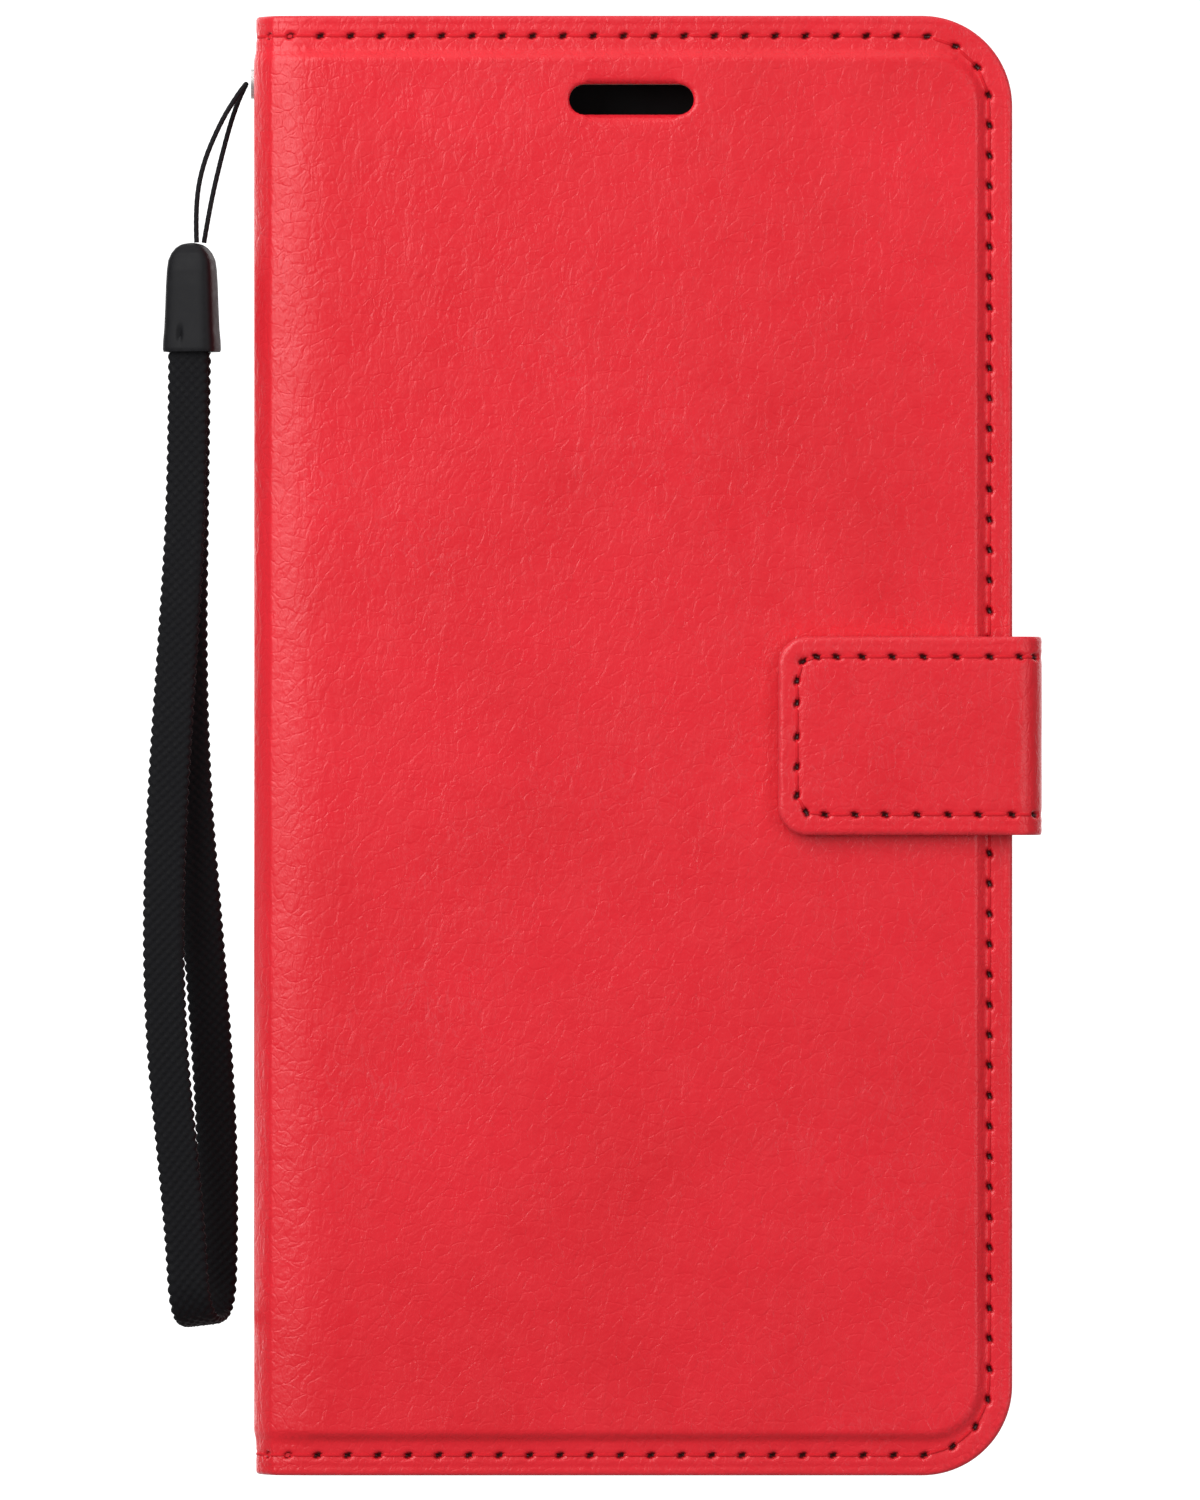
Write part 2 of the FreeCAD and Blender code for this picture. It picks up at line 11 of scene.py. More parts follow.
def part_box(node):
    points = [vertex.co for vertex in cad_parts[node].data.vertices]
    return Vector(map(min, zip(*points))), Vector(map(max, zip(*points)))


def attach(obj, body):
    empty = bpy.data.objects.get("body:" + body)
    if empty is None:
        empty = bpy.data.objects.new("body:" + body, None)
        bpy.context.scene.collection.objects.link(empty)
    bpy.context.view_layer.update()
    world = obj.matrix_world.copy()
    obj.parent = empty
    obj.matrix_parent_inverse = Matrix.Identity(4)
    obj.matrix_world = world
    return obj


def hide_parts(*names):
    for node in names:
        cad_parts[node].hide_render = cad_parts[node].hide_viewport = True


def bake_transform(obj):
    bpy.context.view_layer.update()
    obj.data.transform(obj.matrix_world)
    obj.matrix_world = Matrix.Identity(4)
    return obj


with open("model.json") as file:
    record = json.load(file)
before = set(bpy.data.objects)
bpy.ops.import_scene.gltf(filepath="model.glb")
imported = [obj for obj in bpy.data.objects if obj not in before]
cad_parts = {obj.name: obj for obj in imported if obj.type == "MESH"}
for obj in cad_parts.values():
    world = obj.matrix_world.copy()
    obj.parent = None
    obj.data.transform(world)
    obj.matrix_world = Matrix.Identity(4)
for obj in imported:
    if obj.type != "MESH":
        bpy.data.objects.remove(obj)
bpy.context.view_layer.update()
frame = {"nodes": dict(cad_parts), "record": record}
MM = 0.001

# ---- Sizes, in millimetres, in the frame of the case ----

SPINE_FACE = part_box("spine_skin")[0][0] / MM
CREASE_RADIUS = 4.0
FRONT_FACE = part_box("spine_skin")[0][1] / MM
REAR_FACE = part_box("rear_fold")[1][1] / MM
COVER_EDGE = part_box("front_skin")[1][0] / MM
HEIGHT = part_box("front_skin")[1][2] / MM
CORNER = 10.25
LEATHER = 0.9
EYELET_Y = 1.2
EYELET_Z = 157.6
CLASP_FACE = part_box("clasp_side")[1][0] / MM
CLASP_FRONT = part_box("tab_skin")[0][1] / MM
CLASP_REAR = 8.3
CLASP_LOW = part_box("tab_skin")[0][2] / MM
CLASP_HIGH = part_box("tab_skin")[1][2] / MM
CLASP_RADIUS = 2.8
STRAP = 1.4
TAB_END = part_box("tab_skin")[0][0] / MM
TAB_CORNER = 3.2
PITCH = 3.42

# ---- Camera, wall, light ----

VIEW_CENTRE = (-5.16, 82.0)
VIEW_HEIGHT = 169.4
LENS = 300.0
SENSOR = 36.0
# The wall and the lights are placed in metres.
WALL_SIDE, WALL_BEHIND, WALL_LOW, WALL_HIGH = 8.0, 4.6, -5.0, 6.0
LIGHTS = (
    # name, place, target, size, power in watts
    ("key", (-0.40, -0.60, 0.43), (0, 0, 0.09), (0.5, 0.7), 5.0),
    ("fill", (0.5, -0.75, 0.18), (0, 0, 0.08), (0.34, 0.5), 1.3),
    ("top", (-0.1, -0.1, 1.0), (0, 0, 0.05), (1.0, 0.8), 2),
    ("back_left", (0.55, 0.7, 0.5), (0, 0, 0.08), (0.5, 0.7), 1.9),
    ("back_right", (-0.6, 0.7, 0.2), (0, 0, 0.08), (0.3, 0.6), 1.2),
)
WORLD_LIGHT = 0.30


def add_camera():
    """Looks straight at the front cover, from far enough for the long lens."""
    data = bpy.data.cameras.new("camera")
    data.lens = LENS
    data.sensor_width = SENSOR
    data.clip_start = 0.01
    data.clip_end = 20
    camera = bpy.data.objects.new("camera", data)
    distance = VIEW_HEIGHT * LENS / SENSOR
    camera.location = Vector((VIEW_CENTRE[0], FRONT_FACE - distance, VIEW_CENTRE[1])) * MM
    camera.rotation_euler = (math.pi / 2, 0, 0)
    bpy.context.scene.collection.objects.link(camera)
    bpy.context.scene.camera = camera


def add_light(name, place, target, size, power):
    data = bpy.data.lights.new(name, "AREA")
    data.shape = "RECTANGLE"
    data.size, data.size_y = size
    data.energy = power
    light = bpy.data.objects.new(name, data)
    light.location = place
    light.rotation_euler = (Vector(target) - Vector(place)).to_track_quat("-Z", "Y").to_euler()
    bpy.context.scene.collection.objects.link(light)


def add_studio():
    """A white wall far behind the case, and soft light, strongest from the upper left."""
    mesh = bpy.data.meshes.new("wall")
    corners = [(-WALL_SIDE, WALL_LOW), (WALL_SIDE, WALL_LOW), (WALL_SIDE, WALL_HIGH), (-WALL_SIDE, WALL_HIGH)]
    mesh.from_pydata([(x, WALL_BEHIND, z) for x, z in corners], [], [(0, 1, 2, 3)])
    wall = bpy.data.objects.new("wall", mesh)
    bpy.context.scene.collection.objects.link(wall)
    white = Nodes("studio_white")
    white.set(Base_Color=(0.9, 0.9, 0.9, 1), Roughness=0.9,
              Emission_Color=(1, 1, 1, 1), Emission_Strength=1.0)
    mesh.materials.append(white.material)
    for light in LIGHTS:
        add_light(*light)
    world = bpy.data.worlds.new("studio")
    bpy.context.scene.world = world
    world.use_nodes = True
    background = world.node_tree.nodes["Background"]
    background.inputs["Color"].default_value = (1, 1, 1, 1)
    background.inputs["Strength"].default_value = WORLD_LIGHT
    bpy.context.scene.view_settings.view_transform = "Standard"


# ---- Materials ----

RED = (0.80, 0.011, 0.022)
LINING_RED = (0.60, 0.030, 0.045)
CREASE_RED = (0.80, 0.11, 0.13)
# Painted highlight: a lighter red along the rounded rims of the cut edges.
RIM_HIGHLIGHT_RED = (0.74, 0.040, 0.055)
# Painted shade: a near-black red inside the sewing holes.
HOLE_SHADE_RED = (0.050, 0.0010, 0.0012)
# How far the cell pattern of the grain is pushed out of line, in metres.
GRAIN_BEND = 0.0016


class Nodes:
    """A material's node tree, with short ways to add and join nodes."""

    def __init__(self, name):
        self.material = bpy.data.materials.new(name)
        self.material.use_nodes = True
        self.tree = self.material.node_tree
        self.shader = self.tree.nodes["Principled BSDF"]

    def add(self, kind, inputs=None, **settings):
        node = self.tree.nodes.new(kind)
        for key, value in settings.items():
            setattr(node, key, value)
        for key, value in (inputs or {}).items():
            self.put(node, key, value)
        return node

    def put(self, node, key, value):
        socket = node.inputs[key]
        if isinstance(value, bpy.types.NodeSocket):
            self.tree.links.new(value, socket)
        else:
            socket.default_value = value

    def set(self, **values):
        for key, value in values.items():
            self.put(self.shader, key.replace("_", " "), value)

    def place(self):
        return self.add("ShaderNodeTexCoord").outputs["Object"]

    def scaled(self, vector, scale):
        return self.add("ShaderNodeMapping", {"Vector": vector, "Scale": scale}).outputs[0]

    def noise(self, vector, scale, detail=4.0, rough=0.55, distortion=0.0):
        return self.add("ShaderNodeTexNoise", {"Vector": vector, "Scale": scale, "Detail": detail,
                                               "Roughness": rough, "Distortion": distortion}).outputs[0]

    def ramp(self, value, *stops):
        node = self.add("ShaderNodeValToRGB", {"Fac": value})
        elements = node.color_ramp.elements
        while len(elements) < len(stops):
            elements.new(0.5)
        for element, (position, colour) in zip(elements, stops):
            element.position = position
            element.color = (*colour, 1) if isinstance(colour, tuple) else (colour, colour, colour, 1)
        return node.outputs[0]

    def mix(self, factor, first, second, blend="MIX"):
        node = self.add("ShaderNodeMix", data_type="RGBA", blend_type=blend)
        for socket, value in ((node.inputs[0], factor), (node.inputs[6], first), (node.inputs[7], second)):
            if isinstance(value, bpy.types.NodeSocket):
                self.tree.links.new(value, socket)
            elif isinstance(value, tuple):
                socket.default_value = (*value, 1)
            else:
                socket.default_value = value
        return node.outputs[2]

    def math(self, operation, first, second=0.0):
        return self.add("ShaderNodeMath", {0: first, 1: second}, operation=operation).outputs[0]

    def bump(self, height, distance, strength=1.0, normal=None):
        inputs = {"Height": height, "Distance": distance, "Strength": strength}
        if normal:
            inputs["Normal"] = normal
        return self.add("ShaderNodeBump", inputs).outputs[0]

    def attribute(self, name):
        return self.add("ShaderNodeAttribute", attribute_name=name).outputs["Fac"]


def plain_material(name, colour, roughness):
    nodes = Nodes(name)
    nodes.set(Base_Color=(*colour, 1), Roughness=roughness)
    return nodes.material


def leather_material(name, base, shine, wear):
    """Pull-up leather: cloudy tone, faint pale creases, fine pebble grain, a painted highlight along the
    rims, painted shade in the sewing holes.
    """
    nodes = Nodes(name)
    place = nodes.place()
    cloud = nodes.noise(place, 38, 5, 0.6, 0.4)
    mottle = nodes.noise(place, 260, 4, 0.6)
    dark = tuple(channel * 0.92 for channel in base)
    light = (min(base[0] * 1.08, 1), base[1] * 1.5, base[2] * 1.5)
    colour = nodes.mix(nodes.ramp(cloud, (0.30, 0.0), (0.72, 1.0)), dark, light)
    colour = nodes.mix(nodes.ramp(mottle, (0.35, 0.0), (0.75, 0.35)), colour, base)
    turned = nodes.add("ShaderNodeMapping", {"Vector": place, "Rotation": (0, -0.85, 0),
                                             "Scale": (1.0, 1.0, 0.45)}).outputs[0]
    crease = nodes.noise(turned, 320, 6, 0.62, 1.4)
    streak = nodes.ramp(crease, (0.485, 0.0), (0.50, 1.0), (0.515, 0.0))
    patch = nodes.ramp(nodes.noise(place, 30, 2), (0.50, 0.0), (0.68, 1.0))
    pale = nodes.math("MULTIPLY", streak, patch)
    colour = nodes.mix(nodes.math("MULTIPLY", pale, wear), colour, CREASE_RED)
    # Painted highlight along the rims, from the edge mask.
    colour = nodes.mix(nodes.attribute("edge"), colour, RIM_HIGHLIGHT_RED)
    # Painted shade in the sewing holes, from the hole mask.
    colour = nodes.mix(nodes.attribute("hole"), colour, HOLE_SHADE_RED)
    swirl = nodes.add("ShaderNodeTexNoise", {"Vector": place, "Scale": 420.0, "Detail": 3.0}).outputs["Color"]
    push = nodes.scaled(swirl, (GRAIN_BEND, GRAIN_BEND, GRAIN_BEND))
    bent = nodes.add("ShaderNodeVectorMath", {0: place, 1: push}, operation="ADD").outputs[0]
    cells = nodes.add("ShaderNodeTexVoronoi", {"Vector": bent, "Scale": 620.0}, feature="DISTANCE_TO_EDGE")
    furrow = nodes.ramp(cells.outputs[0], (0.0, 0.0), (0.10, 1.0))
    pebble = nodes.noise(place, 1000, 4, 0.65)
    bump = nodes.bump(furrow, 0.00007, 0.25)
    bump = nodes.bump(pebble, 0.00022, 0.35, bump)
    bump = nodes.bump(nodes.noise(turned, 380, 4, 0.6, 1.6), 0.00034, 0.34, bump)
    bump = nodes.bump(nodes.noise(place, 130, 3), 0.0004, 0.30, bump)
    roughness = nodes.ramp(mottle, (0.25, shine), (0.8, shine + 0.14))
    nodes.set(Base_Color=colour, Roughness=roughness, Normal=bump, Specular_IOR_Level=0.45)
    return nodes.material


def tpu_material():
    nodes = Nodes("black_tpu")
    place = nodes.place()
    speck = nodes.noise(place, 900, 3)
    nodes.set(Base_Color=nodes.mix(speck, (0.003, 0.003, 0.0035), (0.008, 0.008, 0.009)),
              Roughness=nodes.ramp(speck, (0.3, 0.40), (0.7, 0.55)), Normal=nodes.bump(speck, 0.00002, 0.3),
              Specular_IOR_Level=0.16)
    return nodes.material


def plastic_material():
    nodes = Nodes("black_plastic")
    place = nodes.place()
    speck = nodes.noise(place, 1400, 4)
    nodes.set(Base_Color=nodes.mix(speck, (0.006, 0.006, 0.007), (0.016, 0.016, 0.018)),
              Roughness=nodes.ramp(speck, (0.3, 0.44), (0.7, 0.56)), Normal=nodes.bump(speck, 0.00002, 0.35),
              Specular_IOR_Level=0.13)
    return nodes.material


def yarn_material(name, low, high, scale, roughness):
    nodes = Nodes(name)
    place = nodes.place()
    fibre = nodes.noise(nodes.scaled(place, (1, 1, 0.35)), scale, 5, 0.7)
    nodes.set(Base_Color=nodes.mix(fibre, low, high),
              Roughness=nodes.ramp(fibre, (0.3, roughness), (0.8, 0.95)),
              Normal=nodes.bump(fibre, 0.00005, 0.6), Specular_IOR_Level=0.12)
    return nodes.material


def metal_material(name, colour, roughness):
    nodes = Nodes(name)
    scratch = nodes.noise(nodes.scaled(nodes.place(), (1, 6, 1)), 900, 4)
    nodes.set(Base_Color=(*colour, 1), Metallic=1.0,
              Roughness=nodes.ramp(scratch, (0.3, roughness), (0.7, roughness + 0.12)),
              Normal=nodes.bump(scratch, 0.00001, 0.3))
    return nodes.material


def board_material():
    nodes = Nodes("board")
    place = nodes.place()
    fibre = nodes.noise(nodes.scaled(place, (1, 1, 3)), 420, 5, 0.7)
    nodes.set(Base_Color=nodes.mix(fibre, (0.42, 0.37, 0.29), (0.60, 0.55, 0.46)), Roughness=0.9,
              Normal=nodes.bump(fibre, 0.00004, 0.5))
    return nodes.material


add_camera()
add_studio()
MATERIALS = {
    "red_leather": leather_material("red_leather", RED, 0.27, 0.35),
    "red_lining": leather_material("red_lining", LINING_RED, 0.52, 0.10),
    "board": board_material(),
    "black_tpu": tpu_material(),
    "adhesive": plain_material("adhesive", (0.75, 0.75, 0.72), 0.7),
    "steel": metal_material("steel", (0.6, 0.6, 0.6), 0.35),
    "magnet": metal_material("magnet", (0.7, 0.7, 0.72), 0.2),
    "eyelet_metal": metal_material("eyelet_metal", (0.86, 0.84, 0.82), 0.16),
    "black_cord": yarn_material("black_cord", (0.004, 0.004, 0.005), (0.02, 0.02, 0.022), 2600, 0.6),
    "black_plastic": plastic_material(),
    "black_webbing": yarn_material("black_webbing", (0.002, 0.002, 0.0025), (0.012, 0.012, 0.014),
                                   2200, 0.55),
    "red_thread": yarn_material("red_thread", (0.60, 0.010, 0.018), (0.80, 0.022, 0.034), 2500, 0.55),
}
for entry in frame["record"]["subparts"]:
    node = frame["nodes"][entry["node"]]
    node.data.materials.clear()
    node.data.materials.append(MATERIALS[entry["material_slot"]])


# ---- Mesh helpers ----

SHARP_FROM = math.radians(55)


def finish_piece(name, points, faces, slot, body=None, hides=(), smooth=True, masks=None):
    """Makes an object from points in millimetres, with its material, slot and body."""
    mesh = bpy.data.meshes.new(name)
    mesh.from_pydata((np.asarray(points) * MM).tolist(), [], faces)
    for mask_name, values in (masks or {}).items():
        mask = mesh.attributes.new(mask_name, "FLOAT", "POINT")
        mask.data.foreach_set("value", np.asarray(values, np.float32))
    mesh.materials.append(MATERIALS[slot])
    if smooth:
        mesh.polygons.foreach_set("use_smooth", [True] * len(mesh.polygons))
    cleaner = bmesh.new()
    cleaner.from_mesh(mesh)
    bmesh.ops.recalc_face_normals(cleaner, faces=cleaner.faces)
    cleaner.to_mesh(mesh)
    cleaner.free()
    mesh.set_sharp_from_angle(angle=SHARP_FROM)
    piece = bpy.data.objects.new(name, mesh)
    bpy.context.scene.collection.objects.link(piece)
    if hides:
        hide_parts(*hides)
    if body:
        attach(piece, body)
    return piece


def smoothstep(value, low, high):
    """Rises from 0 at low to 1 at high, level at both."""
    t = np.clip((value - low) / (high - low), 0, 1)
    return t * t * (3 - 2 * t)


def round_track(left, right, low, high, radius, step):
    """Points every step along the top, round the right corners and back along the bottom."""
    points = []
    runs = [((left, high), (right - radius, high)), ((right, high - radius), (right, low + radius)),
            ((right - radius, low), (left, low))]
    centres = [(right - radius, high - radius), (right - radius, low + radius)]
    starts = [math.pi / 2, 0.0]
    for index, (start, end) in enumerate(runs):
        length = math.dist(start, end)
        count = max(2, round(length / step))
        for i in range(count):
            t = i / count
            points.append((start[0] + (end[0] - start[0]) * t, start[1] + (end[1] - start[1]) * t))
        if index < len(centres):
            count = max(2, round(radius * math.pi / 2 / step))
            for i in range(count):
                angle = starts[index] - i / count * math.pi / 2
                points.append((centres[index][0] + radius * math.cos(angle),
                               centres[index][1] + radius * math.sin(angle)))
    points.append(runs[-1][1])
    return points


# ---- Folded leather: drawn flat, then bent round its folds ----


class Fold:
    """A sheet that runs along a side wall, round a fold, and across a face; p is the distance along it."""

    def __init__(self, wall, middle, half_depth, radius, outwards, side):
        self.wall, self.middle, self.half_depth, self.radius = wall, middle, half_depth, radius
        self.outwards, self.side = outwards, side
        self.flat = half_depth - radius
        self.bend_end = self.flat + radius * math.pi / 2

    def to_p(self, x):
        return self.bend_end + (x - self.wall) * -self.outwards - self.radius

    def place(self, p, z, height):
        """Points on the sheet, height above its outer face."""
        p, z, height = np.broadcast_arrays(np.asarray(p, float), z, height)
        angle = np.clip((p - self.flat) / self.radius, 0, math.pi / 2)
        reach = self.radius + height
        along = np.maximum(p - self.bend_end, 0)
        x = self.wall + self.outwards * (reach * np.cos(angle) - self.radius - along)
        y = np.minimum(p, self.flat) + reach * np.sin(angle)
        return np.stack([x, self.middle + self.side * y, z], axis=-1)

    def blend_ends(self):
        """From the flat wall to the face, across the fold."""
        wall = self.place(self.flat, 0, 0) * MM
        face = self.place(self.bend_end, 0, 0) * MM
        return tuple(wall), tuple(face)


SPINE_MIDDLE = (FRONT_FACE + REAR_FACE) / 2
SPINE_HALF = (REAR_FACE - FRONT_FACE) / 2
CLASP_MIDDLE = (CLASP_FRONT + CLASP_REAR) / 2
CLASP_HALF = (CLASP_REAR - CLASP_FRONT) / 2
FRONT_FOLD = Fold(SPINE_FACE, SPINE_MIDDLE, SPINE_HALF, CREASE_RADIUS, -1, -1)
REAR_FOLD = Fold(SPINE_FACE, SPINE_MIDDLE, SPINE_HALF, CREASE_RADIUS, -1, 1)
TAB_FOLD = Fold(CLASP_FACE, CLASP_MIDDLE, CLASP_HALF, CLASP_RADIUS, 1, -1)
STRAP_FOLD = Fold(CLASP_FACE, CLASP_MIDDLE, CLASP_HALF, CLASP_RADIUS, 1, 1)


def edge_distance(p, z, right, low, high, radius):
    """How far a point is inside the top, right and bottom edges, round the corners."""
    centre_low, centre_high = low + radius, high - radius
    dx = p - (right - radius)
    dz = np.maximum(z - centre_high, centre_low - z)
    in_corner = (dx > 0) & (dz > 0)
    straight = np.minimum(right - p, np.minimum(z - low, high - z))
    return np.where(in_corner, radius - np.hypot(dx, dz), straight)


def triangulate(loops, extra, holes):
    """Triangles that fill the first loop, less what the hole tests cover."""
    points = [tuple(point) for loop in loops for point in loop]
    edges = []
    first = 0
    for loop in loops:
        count = len(loop)
        edges += [(first + i, first + (i + 1) % count) for i in range(count)]
        first += count
    points += [tuple(point) for point in extra]
    filled = geometry.delaunay_2d_cdt([Vector(point) for point in points], edges, [], 1, 1e-5)
    flat = np.array([tuple(point) for point in filled[0]])
    faces = np.array([face for face in filled[2] if len(face) == 3])
    centres = flat[faces].mean(axis=1)
    keep = np.ones(len(faces), bool)
    for hole in holes:
        keep &= ~hole(centres[:, 0], centres[:, 1])
    return flat, faces[keep]


def thick_sheet(fold, flat, faces, outer, inner):
    """A closed sheet from one triangulation: outer face, inner face and the walls between them.

    Gives its points, its faces, and each point's number among the outer then the inner points.
    """
    p, z = flat[:, 0], flat[:, 1]
    count = len(flat)
    points = np.vstack([fold.place(p, z, outer), fold.place(p, z, inner)])
    sides = {}
    for a, b, c in faces:
        for edge in ((a, b), (b, c), (c, a)):
            sides[edge] = sides.get(edge[::-1], 0) == 0
            if edge[::-1] in sides:
                sides[edge[::-1]] = False
                sides[edge] = False
    walls = [(int(b), int(a), int(a) + count, int(b) + count)
             for (a, b), open_side in sides.items() if open_side]
    all_faces = [tuple(map(int, face)) for face in faces]
    all_faces += [(face[0] + count, face[2] + count, face[1] + count) for face in all_faces]
    used = sorted({index for face in all_faces + walls for index in face})
    number = {old: new for new, old in enumerate(used)}
    return points[used], [tuple(number[i] for i in face) for face in all_faces + walls], np.array(used)


def ripple(p, z):
    """Gentle unevenness of a hand-laid skin."""
    waves = np.sin(p * 0.11 + z * 0.05 + 0.7) * np.sin(z * 0.083 - p * 0.031 + 1.9)
    waves = waves + 0.6 * np.sin(p * 0.23 - z * 0.17 + 4.1) * np.sin(z * 0.19 + p * 0.07)
    return 0.035 * waves


def stitch_spots(track):
    """Hole places and headings, one pitch apart along a track."""
    track = np.array(track)
    steps = np.hypot(*np.diff(track, axis=0).T)
    travel = np.concatenate([[0], np.cumsum(steps)])
    count = int(travel[-1] / PITCH)
    wanted = (np.arange(count) + 0.55) * travel[-1] / count
    p = np.interp(wanted, travel, track[:, 0])
    z = np.interp(wanted, travel, track[:, 1])
    ahead_p = np.interp(wanted + 0.3, travel, track[:, 0])
    ahead_z = np.interp(wanted + 0.3, travel, track[:, 1])
    return np.stack([p, z, np.arctan2(ahead_z - z, ahead_p - p)], axis=-1)


HOLE_LONG, HOLE_WIDE, HOLE_DEEP, HOLE_SLANT = 0.56, 0.30, 0.60, 0.25
THREAD = 0.16
THREAD_DIP = 0.45


def sewing(p, z, spots):
    """Depth of the sewn groove's holes, and how much painted shade darkens each point in them."""
    depth = np.zeros(len(p))
    dark = np.zeros(len(p))
    for spot_p, spot_z, heading in spots:
        near = np.where((abs(p - spot_p) < 1.4) & (abs(z - spot_z) < 1.4))[0]
        turn = heading + HOLE_SLANT
        along = (p[near] - spot_p) * math.cos(turn) + (z[near] - spot_z) * math.sin(turn)
        across = (z[near] - spot_z) * math.cos(turn) - (p[near] - spot_p) * math.sin(turn)
        away = (along / HOLE_LONG) ** 2 + (across / HOLE_WIDE) ** 2
        depth[near] = np.maximum(depth[near], HOLE_DEEP * np.exp(-away ** 1.5))
        dark[near] = np.maximum(dark[near], 1 - smoothstep(away, 0.75, 1.35))
    return depth, dark


def thread_tubes(fold, spots, surface):
    """One short thread over the leather between each two holes, its ends going down the holes."""
    points, faces = [], []
    rings, sides = 7, 6
    for start, end in zip(spots, spots[1:]):
        across = (end[0] - start[0], end[1] - start[1])
        length = math.hypot(*across)
        direction = (across[0] / length, across[1] / length)
        start = (start[0] + direction[0] * HOLE_LONG * 0.6, start[1] + direction[1] * HOLE_LONG * 0.6)
        across = (across[0] - direction[0] * HOLE_LONG * 1.2, across[1] - direction[1] * HOLE_LONG * 1.2)
        first = len(points)
        for ring in range(rings):
            t = ring / (rings - 1)
            dip = THREAD_DIP * (2 * t - 1) ** 6
            p, z = start[0] + across[0] * t, start[1] + across[1] * t
            level = surface(np.array([p]), np.array([z]))[0] + 0.02 - dip
            for side in range(sides):
                angle = side / sides * 2 * math.pi
                out, up = THREAD * 1.15 * math.cos(angle), THREAD * 0.7 * math.sin(angle)
                points.append(fold.place(p - direction[1] * out, z + direction[0] * out, level + up))
        for ring in range(rings - 1):
            for side in range(sides):
                a, b = first + ring * sides + side, first + ring * sides + (side + 1) % sides
                faces.append((a, b, b + sides, a + sides))
        faces.append(tuple(first + side for side in range(sides))[::-1])
        faces.append(tuple(first + (rings - 1) * sides + side for side in range(sides)))
    return np.array(points), faces


def rounded_loop(left, right, low, high, radius, step=0.5):
    """A closed loop with four round corners."""
    points = []
    centres = [(right - radius, high - radius), (right - radius, low + radius),
               (left + radius, low + radius), (left + radius, high - radius)]
    count = max(4, round(radius * math.pi / 2 / step))
    for corner, (cx, cz) in enumerate(centres):
        for i in range(count + 1):
            angle = math.pi / 2 * (1 - corner - i / count)
            points.append((cx + radius * math.cos(angle), cz + radius * math.sin(angle)))
    return points


def in_rounded(left, right, low, high, radius):
    """A test for points inside a cut-out with round corners."""

    def test(p, z):
        inside = (p > left) & (p < right) & (z > low) & (z < high)
        dx = np.maximum(np.maximum(left + radius - p, p - right + radius), 0)
        dz = np.maximum(np.maximum(low + radius - z, z - high + radius), 0)
        return inside & (np.hypot(dx, dz) < radius)
    return test


def grid(left, right, low, high, step_p, step_z):
    """Points in rows and columns, about one step apart."""
    columns = np.linspace(left, right, max(2, round((right - left) / step_p) + 1))
    rows = np.linspace(low, high, max(2, round((high - low) / step_z) + 1))
    return [(p, z) for p in columns for z in rows]


MARGIN_LOW, MARGIN_HIGH = 3.7, 5.0
SEAM_SIDE, SEAM_TOP, SEAM_CORNER = 2.6, 2.3, 8.0
MARGIN_SHIFT = 0.8
EYELET_NOTCH = 1.32
SEAM_FURROW, FURROW_WIDE = 0.06, 0.45
COVER_LIP, COVER_LIP_DROP = 0.5, 0.32
STRAP_LIP, STRAP_LIP_DROP = 0.7, 0.45
# How far in from a rim the painted highlight reaches, and how much of it lies over the whole inner face.
PAINTED_RIM = 0.45
PAINTED_INSIDE = 0.15
# Rows of mesh points: across a seam, inside a cover's edge with the step along each row, across the
# slope from the margin up to the panel, and near the ends of the crease.
SEAM_ROWS = (-0.75, -0.5, -0.3, -0.15, 0.0, 0.15, 0.3, 0.5, 0.75)
COVER_EDGE_ROWS = ((0.15, 0.6), (0.35, 0.6), (0.6, 0.8), (0.8, 0.8), (1.0, 0.8), (1.2, 0.8))
MARGIN_ROWS = (3.7, 3.95, 4.2, 4.45, 4.7, 4.95, 5.3, 6.1)
END_ROWS = (0.7, 1.3, 3.4, 4.2, 5.2, 6.0)
CREASED_WIDTH = 12.0


def rounded_over(inside, reach, drop):
    """How far a quarter-round edge falls, by how far inside the edge a point is."""
    lip = np.clip(1 - inside / reach, 0, 1)
    return drop * (1 - np.sqrt(1 - lip ** 2))


def painted(rim, used):
    """The mask of the painted highlight along a sheet's rims: strong at the rim outside, faint all over
    inside.
    """
    return np.concatenate([rim, np.full(len(rim), PAINTED_INSIDE)])[used]


def outside_only(values, used):
    """A mask that is nothing on the inside of a sheet."""
    return np.concatenate([values, np.zeros(len(values))])[used]


def eyelet_notch(count):
    """Half a circle round the eyelet, less its ends, on the middle line of the spine."""
    return [(EYELET_NOTCH * math.sin(a), EYELET_Z - EYELET_NOTCH * math.cos(a))
            for a in np.linspace(0, math.pi, count)[1:-1]]


def fold_profile(fold):
    """Distance along the sheet and height where the skin is creased beside the spine.

    The wall leans in to a crease, and the face rises slowly from there to the flat panel.
    """
    steps = np.linspace(0, 1, 60)
    # Each run's length, and how far it leans in along the way, in degrees.
    runs = [(0.6, 90 - 28 * steps), (3.0, 62 - 14 * steps),
            (0.35, 48 - 28 * steps), (6.5, 20 * (1 - steps) ** 1.3)]
    across, inwards = [0.0], [0.0]
    for length, lean in runs:
        lean = np.radians((lean[1:] + lean[:-1]) / 2)
        across += list(across[-1] + np.cumsum(np.cos(lean)) * length / len(lean))
        inwards += list(inwards[-1] + np.cumsum(np.sin(lean)) * length / len(lean))
    across = np.array(across) - fold.radius
    inwards = np.array(inwards) - inwards[-1] + fold.radius
    round_part = across < 0
    angle = np.arctan2(inwards, -across)
    distance = np.where(round_part, fold.flat + fold.radius * angle, fold.bend_end + across)
    height = np.where(round_part, np.hypot(across, inwards), inwards) - fold.radius
    return distance, height * smoothstep(distance, fold.flat - 0.5, fold.flat + 0.3)


